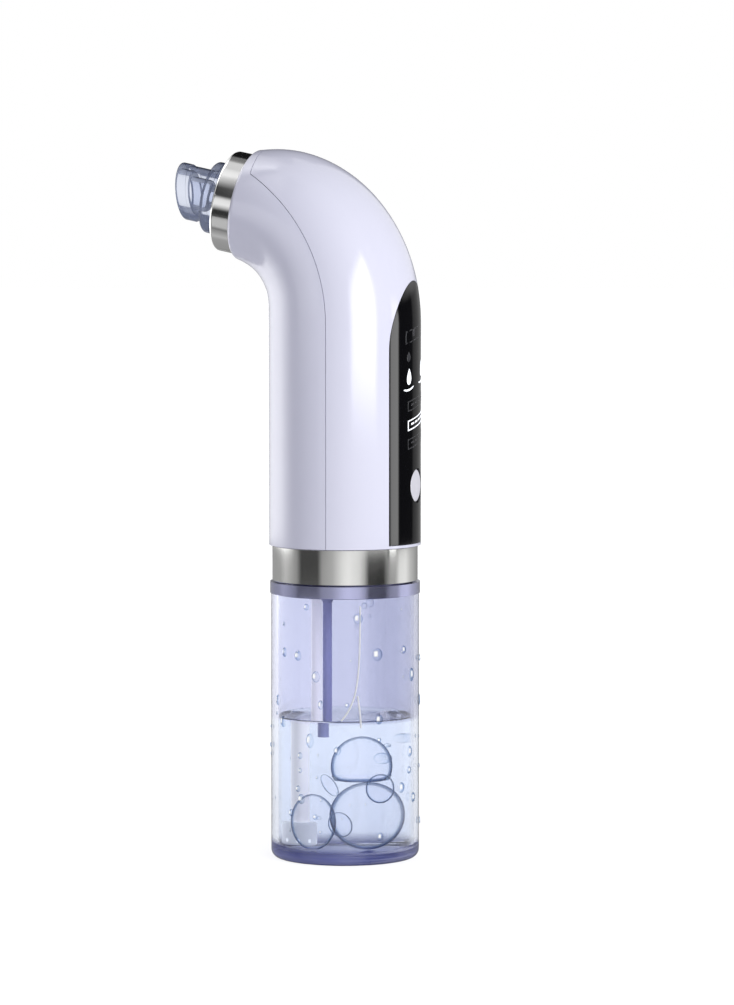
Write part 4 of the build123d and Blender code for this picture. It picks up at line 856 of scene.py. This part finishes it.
# ---- the handle ----
SQUARE = [(-1.0, -1.0), (1.0, -1.0), (1.0, 1.0), (-1.0, 1.0)]


@dataclass
class Mark:
    """A mark on the panel, in millimetres: its place from the panel's middle line and its sizes."""

    across: float
    height: float
    wide: float
    tall: float
    finish: Finish


@dataclass
class Handle:
    """The two shells, the panel with its marks, the button and what is inside the grip."""

    radius: float = 21.4 * MM
    raised: float = 0.03 * MM
    slant: float = 0.214
    cuts: int = 5
    bars: int = 4
    bar_pitch: float = 2.4

    def build(self) -> None:
        """Dresses the handle and makes the panel's marks."""
        dress({"front_shell": SHELL_WHITE, "back_shell": SHELL_WHITE, "control_panel": PANEL_BLACK,
               "waist_ring": RING_STEEL, "power_button": BUTTON_WHITE, "switch_plunger": SWITCH_BLACK,
               "tact_switch": SWITCH_BLACK, "main_board": BOARD_GREEN, "indicator_lamps": LAMP_WHITE,
               "light_guide": GUIDE_GREY, "board_screws": SCREW_STEEL, "shell_screws": SCREW_STEEL,
               "battery_cell": CELL_WRAP, "charge_socket": PORT_METAL, "charge_board": BOARD_GREEN,
               "inner_frame": FRAME_PLASTIC, "motor_can": MOTOR_STEEL, "motor_cap": MOTOR_PLASTIC,
               "motor_magnets": MAGNET_GREY, "motor_rotor": ROTOR_COPPER, "pump_eccentric": MOTOR_PLASTIC,
               "pump_body": PUMP_PLASTIC, "pump_rocker": MOTOR_PLASTIC, "pump_diaphragm": DIAPHRAGM_RUBBER,
               "pump_cover": PUMP_PLASTIC, "pump_screws": SCREW_STEEL, "supply_hose": HOSE_SILICONE,
               "suction_hose": HOSE_SILICONE, "return_hose": HOSE_SILICONE})
        self.marks()

    def frame_mark(self, name: str, mark: Mark, line: float) -> None:
        """A frame of thin lines on the panel.

        Args:
            name: The piece's name.
            mark: Its place, size and finish.
            line: How thick its lines are, in millimetres.
        """
        Bench.clear()
        bpy.ops.mesh.primitive_plane_add(size=1.0, rotation=(pi / 2, 0, 0))
        Bench.begin(name)
        bpy.ops.transform.resize(value=(mark.wide * MM, 1.0, mark.tall * MM))
        bpy.ops.mesh.inset(thickness=line * MM, use_even_offset=True)
        bpy.ops.mesh.delete(type="FACE")
        self.print_mark(mark)

    def plate_mark(self, name: str, mark: Mark, outline: Outline) -> None:
        """A filled mark on the panel.

        Args:
            name: The piece's name.
            mark: Its place, size and finish.
            outline: Points from -1 to 1 across and up.
        """
        Bench.trace(name, [(x * mark.wide * MM / 2, z * mark.tall * MM / 2) for x, z in outline])
        bpy.ops.mesh.edge_face_add()
        bpy.ops.mesh.quads_convert_to_tris()
        self.print_mark(mark)

    def print_mark(self, mark: Mark) -> None:
        """Slants the open flat mark as the print is, puts it on the panel and thickens it.

        Args:
            mark: Its place and finish.
        """
        bpy.ops.mesh.select_all(action="SELECT")
        bpy.ops.mesh.subdivide(number_cuts=self.cuts)
        bpy.ops.transform.translate(value=(mark.across * MM, 0, 0))
        long = sqrt(1 + self.slant ** 2 / 4) + self.slant / 2
        lean = atan2(2, self.slant) / 2
        for turn, stretch in ((lean, (long, 1.0, 1 / long)), (lean - pi / 2, (1.0, 1.0, 1.0))):
            bpy.ops.transform.rotate(value=-turn, orient_axis="Y", center_override=(0, 0, 0))
            bpy.ops.transform.resize(value=stretch, center_override=(0, 0, 0))
        bpy.ops.transform.rotate(value=-pi / 2, orient_axis="Z", center_override=(0, 0, 0))
        bpy.ops.transform.translate(value=(self.radius + MM, 0, mark.height * MM))
        piece = Bench.end()
        Bench.modify("SHRINKWRAP", target=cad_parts["control_panel"], wrap_method="PROJECT",
                     use_project_x=True, use_negative_direction=True, use_positive_direction=False,
                     offset=self.raised)
        Bench.modify("SOLIDIFY", thickness=2 * self.raised, offset=-1.0)
        hand_over(piece, Body.HANDLE, mark.finish)

    @staticmethod
    def teardrop(steps: int = 24) -> Outline:
        """A drop's outline with its point up, between -1 and 1."""
        turns = [2 * pi * index / steps for index in range(steps)]
        return [(sin(turn) * sin(turn / 2) * 1.3, cos(turn)) for turn in turns]

    @staticmethod
    def arc(wide: float, tall: float, angles: range) -> Outline:
        """Points of a swoosh's edge, by its half sizes and angles in degrees."""
        return [(wide * cos(radians(angle)), 0.3 + tall * sin(radians(angle))) for angle in angles]

    def level_marks(self, name: str, height: float, finish: Finish, line: float) -> None:
        """A level's frame with its bars.

        Args:
            name: The level.
            height: The height of its middle in millimetres.
            finish: Its finish.
            line: How thick the frame's lines are, in millimetres.
        """
        self.frame_mark(f"mark_level_{name}", Mark(0, height, 12.4, 2.9, finish), line)
        first = -self.bar_pitch * (self.bars - 1) / 2
        for index in range(self.bars):
            bar = Mark(first + self.bar_pitch * index, height + 0.1, 1.7, 0.5, finish)
            self.plate_mark(f"mark_bar_{name}_{index + 1}", bar, SQUARE)

    def marks(self) -> None:
        """The battery frame, the three level frames with their bars and the drops over their swooshes."""
        self.frame_mark("mark_battery", Mark(0.1, 148.9, 14.6, 3.6, MARK_DIM), 0.32)
        self.plate_mark("mark_bolt", Mark(-3.0, 149.4, 1.2, 1.8, MARK_DIM), SQUARE)
        self.level_marks("high", 129.5, MARK_DIM, 0.3)
        self.level_marks("middle", 124.1, MARK_LIT, 0.32)
        self.level_marks("low", 118.9, MARK_DIM, 0.3)
        drop = self.teardrop()
        swoosh = self.arc(1.0, 1.1, range(195, 346, 10)) + self.arc(0.8, 0.55, range(335, 204, -10))
        self.plate_mark("mark_drop_small", Mark(-5.8, 143.4, 1.7, 2.8, MARK_DIM), drop)
        for side, across, wide in (("left", -5.6, 5.2), ("right", 4.2, 7.0)):
            self.plate_mark(f"mark_drop_{side}", Mark(across, 137.8, 2.1, 4.5, MARK_LIT), drop)
            self.plate_mark(f"mark_swoosh_{side}", Mark(across, 134.6, wide, 1.9, MARK_LIT), swoosh)


# ---- the head ----
@dataclass
class Head:
    """The steel ring, the socket and the clear tip."""

    def build(self) -> None:
        """Dresses the head."""
        dress({"head_ring": HEAD_STEEL, "tip_socket": SOCKET_GREY, "suction_tip": TIP_CLEAR,
               "tip_seal": SEAL_RUBBER})


# ---- the studio ----
@dataclass(frozen=True)
class Lamp:
    """A soft box: its direction from the object, its distance, sizes and brightness."""

    name: str
    azimuth: float
    height: float
    distance: float
    size: Pair
    level: float


@dataclass
class Studio:
    """A white room with two soft boxes, and a screen round the object that only reflections see.

    Azimuths are in degrees from the camera's side of the object, positive to the camera's right. Heights are
    in metres. A glow holds pairs of azimuth or height and brightness.
    """

    azimuth: float = 18.0
    distance: float = 1.30
    camera_z: float = 0.1956
    pitch: float = 4.1826
    yaw: float = -0.273
    lens: float = 165.53
    aim: Point = (0.0, 0.0, 0.12)
    fill: float = 0.36
    fill_colour: Colour = (0.93, 0.93, 1.0)
    lamps: tuple[Lamp, ...] = (
        Lamp("key_box", 38.0, 0.45, 0.8, (0.55, 0.7), 4.35),
        Lamp("rim_box", -130.0, 0.25, 0.8, (0.3, 0.8), 5.0),
    )
    floor_radius: float = 6.0
    shadow_level: float = 0.86
    shadow_reach: Pair = (0.04, 0.3)
    screen_radius: float = 0.25
    screen_tall: float = 1.8
    screen_z: float = 0.3
    brightest: float = 12.0
    ring_glow: tuple[Pair, ...] = (
        (-180, 0.12), (-157, 0.42), (-120, 0.50), (-105, 0.72), (-80, 0.42), (-71, 0.08), (-42, 0.08),
        (-35, 0.48), (-19, 0.63), (-3, 1.15), (5, 1.28), (21, 1.05), (29, 0.66), (36, 0.05), (61, 0.02),
        (72, 0.44), (84, 0.52), (93, 1.15), (108, 1.22), (122, 0.78), (140, 0.5), (180, 0.12))
    shell_glow: tuple[Pair, ...] = (
        (-180, 0.2), (-168, 0.3), (-150, 1.3), (-125, 3.2), (-110, 4.4), (-98, 3.0), (-84, 0.5), (-74, 0.1),
        (-45, 0.1), (-20, 0.6), (6, 1.1), (67.5, 1.3), (69, 0.03), (71.5, 0.03), (73, 3.8), (84, 3.8),
        (86.5, 0.03), (118, 0.03), (123, 0.25), (160, 0.4), (180, 0.5))
    head_glow: tuple[Pair, ...] = (
        (-0.60, 0.9), (-0.30, 0.75), (0.02, 0.75), (0.05, 0.60), (0.075, 0.05), (0.12, 0.04), (0.14, 0.6),
        (0.17, 1.3), (0.215, 1.2), (0.245, 0.05), (0.33, 0.05), (0.43, 0.9), (0.60, 1.45), (1.2, 1.1))
    waist_z: Pair = (0.0690, 0.0705)
    plain_z: Pair = (0.175, 0.20)
    plain_azimuth: Pair = (60.0, 66.0)
    streak_azimuth: float = 27.5
    streak_half: float = 17.5
    streak_edge: Pair = (-3.0, 5.0)
    streak_foot: Pair = (0.104, 0.132)
    streak_top: Pair = (0.19, 0.36)
    streak_lean: float = 16.0
    streak_taper: float = 24.0
    streak_level: float = 6.5
    head_azimuth: Window = (-72.0, -38.0, 4.0)
    head_above: Pair = (0.075, 0.080)
    head_below: Pair = (0.050, 0.056)
    bend_azimuth: Window = (-150.0, -94.0, 5.0)
    bend_z: Window = (0.182, 0.30, 0.004)
    bend_dark: float = 0.9
    back_azimuth: Pair = (158.0, 164.0)
    back_z: Window = (-0.45, 0.55, 0.03)
    back_gap: Window = (0.03, 0.15, 0.01)
    back_dark: float = 0.95

    def build(self) -> None:
        """Makes the room, the lamps and the camera."""
        self.room()
        self.floor()
        self.reflections()
        for lamp in self.lamps:
            self.soft_box(lamp)
        self.camera()

    def toward(self, azimuth: float, reach: float, height: float) -> Vector:
        """A point at an azimuth from the camera's side, a distance from the object's axis."""
        angle = radians(self.azimuth + azimuth)
        return Vector((sin(angle) * reach, -cos(angle) * reach, height))

    def room(self) -> None:
        """A white world that lights softly. The camera, glass and metal see it white."""
        world = bpy.data.worlds.new("room")
        bpy.context.scene.world = world
        graph = Graph(world)
        seen = graph.seen("Camera", "Glossy", "Transmission")
        graph.surface(graph.node("Background", None, {
            "Color": graph.blend(seen, self.fill_colour, WHITE),
            "Strength": graph.span(seen, self.fill, 1.0),
        }))

    def floor(self) -> None:
        """A floor that keeps a faint shadow, through which the room shows, and a cup that is pulled off."""
        Bench.clear()
        bpy.ops.mesh.primitive_circle_add(vertices=96, radius=self.floor_radius, fill_type="NGON")
        floor = bpy.context.object
        floor.name = floor.data.name = "floor"
        material = bpy.data.materials.new("floor_white")
        graph = Graph(material)
        paper = graph.node("BsdfDiffuse", None, {"Color": (0.85, 0.85, 0.87)})
        faint = graph.node("BsdfDiffuse", None, {"Color": (0.25, 0.25, 0.26)})
        away = graph.node("VectorMath", {"operation": "LENGTH"}, {0: graph.place()}, "Value")
        clear = graph.veil(shade(WHITE, self.shadow_level), [(graph.rise(away, *self.shadow_reach), WHITE)])
        shown = graph.node("AddShader", None, {0: faint, 1: clear})
        seen = graph.seen("Camera", "Transmission")
        graph.surface(graph.node("MixShader", None, {0: seen, 1: paper, 2: shown}))
        floor.data.materials.append(material)
        floor.visible_glossy = False

    def reflections(self) -> None:
        """A screen round the object that only reflections see, light and dark by direction."""
        Bench.clear()
        bpy.ops.mesh.primitive_cylinder_add(
            vertices=128, radius=self.screen_radius, depth=self.screen_tall, end_fill_type="NOTHING",
            location=(0, 0, self.screen_z), rotation=(0, 0, radians(self.azimuth)))
        screen = bpy.context.object
        screen.name = screen.data.name = "reflection_screen"
        material = bpy.data.materials.new("reflection_screen")
        graph = Graph(material)
        light = graph.node("Emission", None, {"Color": WHITE, "Strength": self.brightest})
        share = self.screen_level(graph) / self.brightest
        graph.surface(graph.node("MixShader", None, {0: share, 2: light}))
        material.cycles.emission_sampling = "NONE"
        screen.data.materials.append(material)
        for way in ("camera", "diffuse", "shadow", "transmission", "volume_scatter"):
            setattr(screen, "visible_" + way, False)

    def screen_level(self, graph: Graph) -> Value:
        """The brightness of the screen by azimuth and height.

        Args:
            graph: The screen's graph.

        Returns:
            The brightness.
        """
        x, y, z = graph.split(graph.place(shift=(0, 0, self.screen_z)))
        angle = graph.math("ARCTAN2", x, 0.0 - y) * (180 / pi)
        ring = self.glow_ramp(graph, angle, self.ring_glow)
        shell = self.glow_ramp(graph, angle, self.shell_glow)
        plain = graph.rise(z, *self.plain_z) * graph.rise(angle, *self.plain_azimuth)
        shell = shell + (1.0 - shell) * plain
        # The shell's long highlight leans and tapers towards its top.
        taper = graph.rise(z, *self.streak_top)
        aside = graph.math("ABSOLUTE", angle - self.streak_azimuth - taper * self.streak_lean)
        aside = aside - self.streak_half + taper * self.streak_taper
        streak = (1.0 - graph.rise(aside, *self.streak_edge)) * graph.rise(z, *self.streak_foot)
        shell = shell + streak * self.streak_level
        level = ring + (shell - ring) * graph.rise(z, *self.waist_z)
        # The head's ring mirrors its own bands, above and below those of the waist ring.
        head = self.glow_ramp(graph, z, self.head_glow)
        beside = graph.window(angle, *self.head_azimuth)
        level = level + (head - level) * beside * graph.rise(z, *self.head_above)
        level = level + (head - level) * beside * (1.0 - graph.rise(z, *self.head_below))
        # The bend and the panel have dark strips of their own.
        bend = graph.window(angle, *self.bend_azimuth) * graph.window(z, *self.bend_z)
        level = level * (1.0 - bend * self.bend_dark)
        back = graph.rise(graph.math("ABSOLUTE", angle), *self.back_azimuth)
        back = back * graph.window(z, *self.back_z) * (1.0 - graph.window(z, *self.back_gap))
        return level * (1.0 - back * self.back_dark)

    @staticmethod
    def glow_ramp(graph: Graph, place: Value, levels: tuple[Pair, ...]) -> Value:
        """A brightness by azimuth or height.

        Args:
            graph: The screen's graph.
            place: The azimuth in degrees or the height.
            levels: Pairs of place and brightness.

        Returns:
            The brightness.
        """
        top = max(level for _, level in levels)
        low, high = levels[0][0], levels[-1][0]
        stops = [((at - low) / (high - low), level / top) for at, level in levels]
        share = (place - low) / (high - low)
        ramp = graph.node("ValToRGB", {"stops": stops}, {0: share})
        return graph.node("RGBToBW", None, {0: ramp}) * top

    def soft_box(self, lamp: Lamp) -> None:
        """Adds a soft box that lights but isn't mirrored, since the screen is what mirrors.

        Args:
            lamp: The soft box.
        """
        data = bpy.data.lights.new(lamp.name, "AREA")
        data.shape = "RECTANGLE"
        data.size, data.size_y = lamp.size
        data.energy = lamp.level * pi * lamp.size[0] * lamp.size[1]
        light = bpy.data.objects.new(lamp.name, data)
        bpy.context.scene.collection.objects.link(light)
        light.location = self.toward(lamp.azimuth, lamp.distance, lamp.height)
        light.rotation_euler = (Vector(self.aim) - light.location).to_track_quat("-Z", "Y").to_euler()
        light.visible_camera = light.visible_glossy = light.visible_transmission = False

    def camera(self) -> None:
        """The camera, above the object's top and looking slightly down."""
        data = bpy.data.cameras.new("camera")
        data.lens = self.lens
        camera = bpy.data.objects.new("camera", data)
        bpy.context.scene.collection.objects.link(camera)
        camera.location = self.toward(0.0, self.distance, self.camera_z)
        camera.rotation_euler = (radians(90 - self.pitch), 0, radians(self.azimuth + self.yaw))
        bpy.context.scene.camera = camera
        bpy.context.scene.view_settings.view_transform = "Standard"


def main() -> None:
    """Builds the studio and the sub-assemblies."""
    logging.basicConfig(level=logging.INFO, format="%(message)s")
    Studio().build()
    Cup().build()
    Handle().build()
    Head().build()
    Bench.clear()


if __name__ == "__main__":
    main()
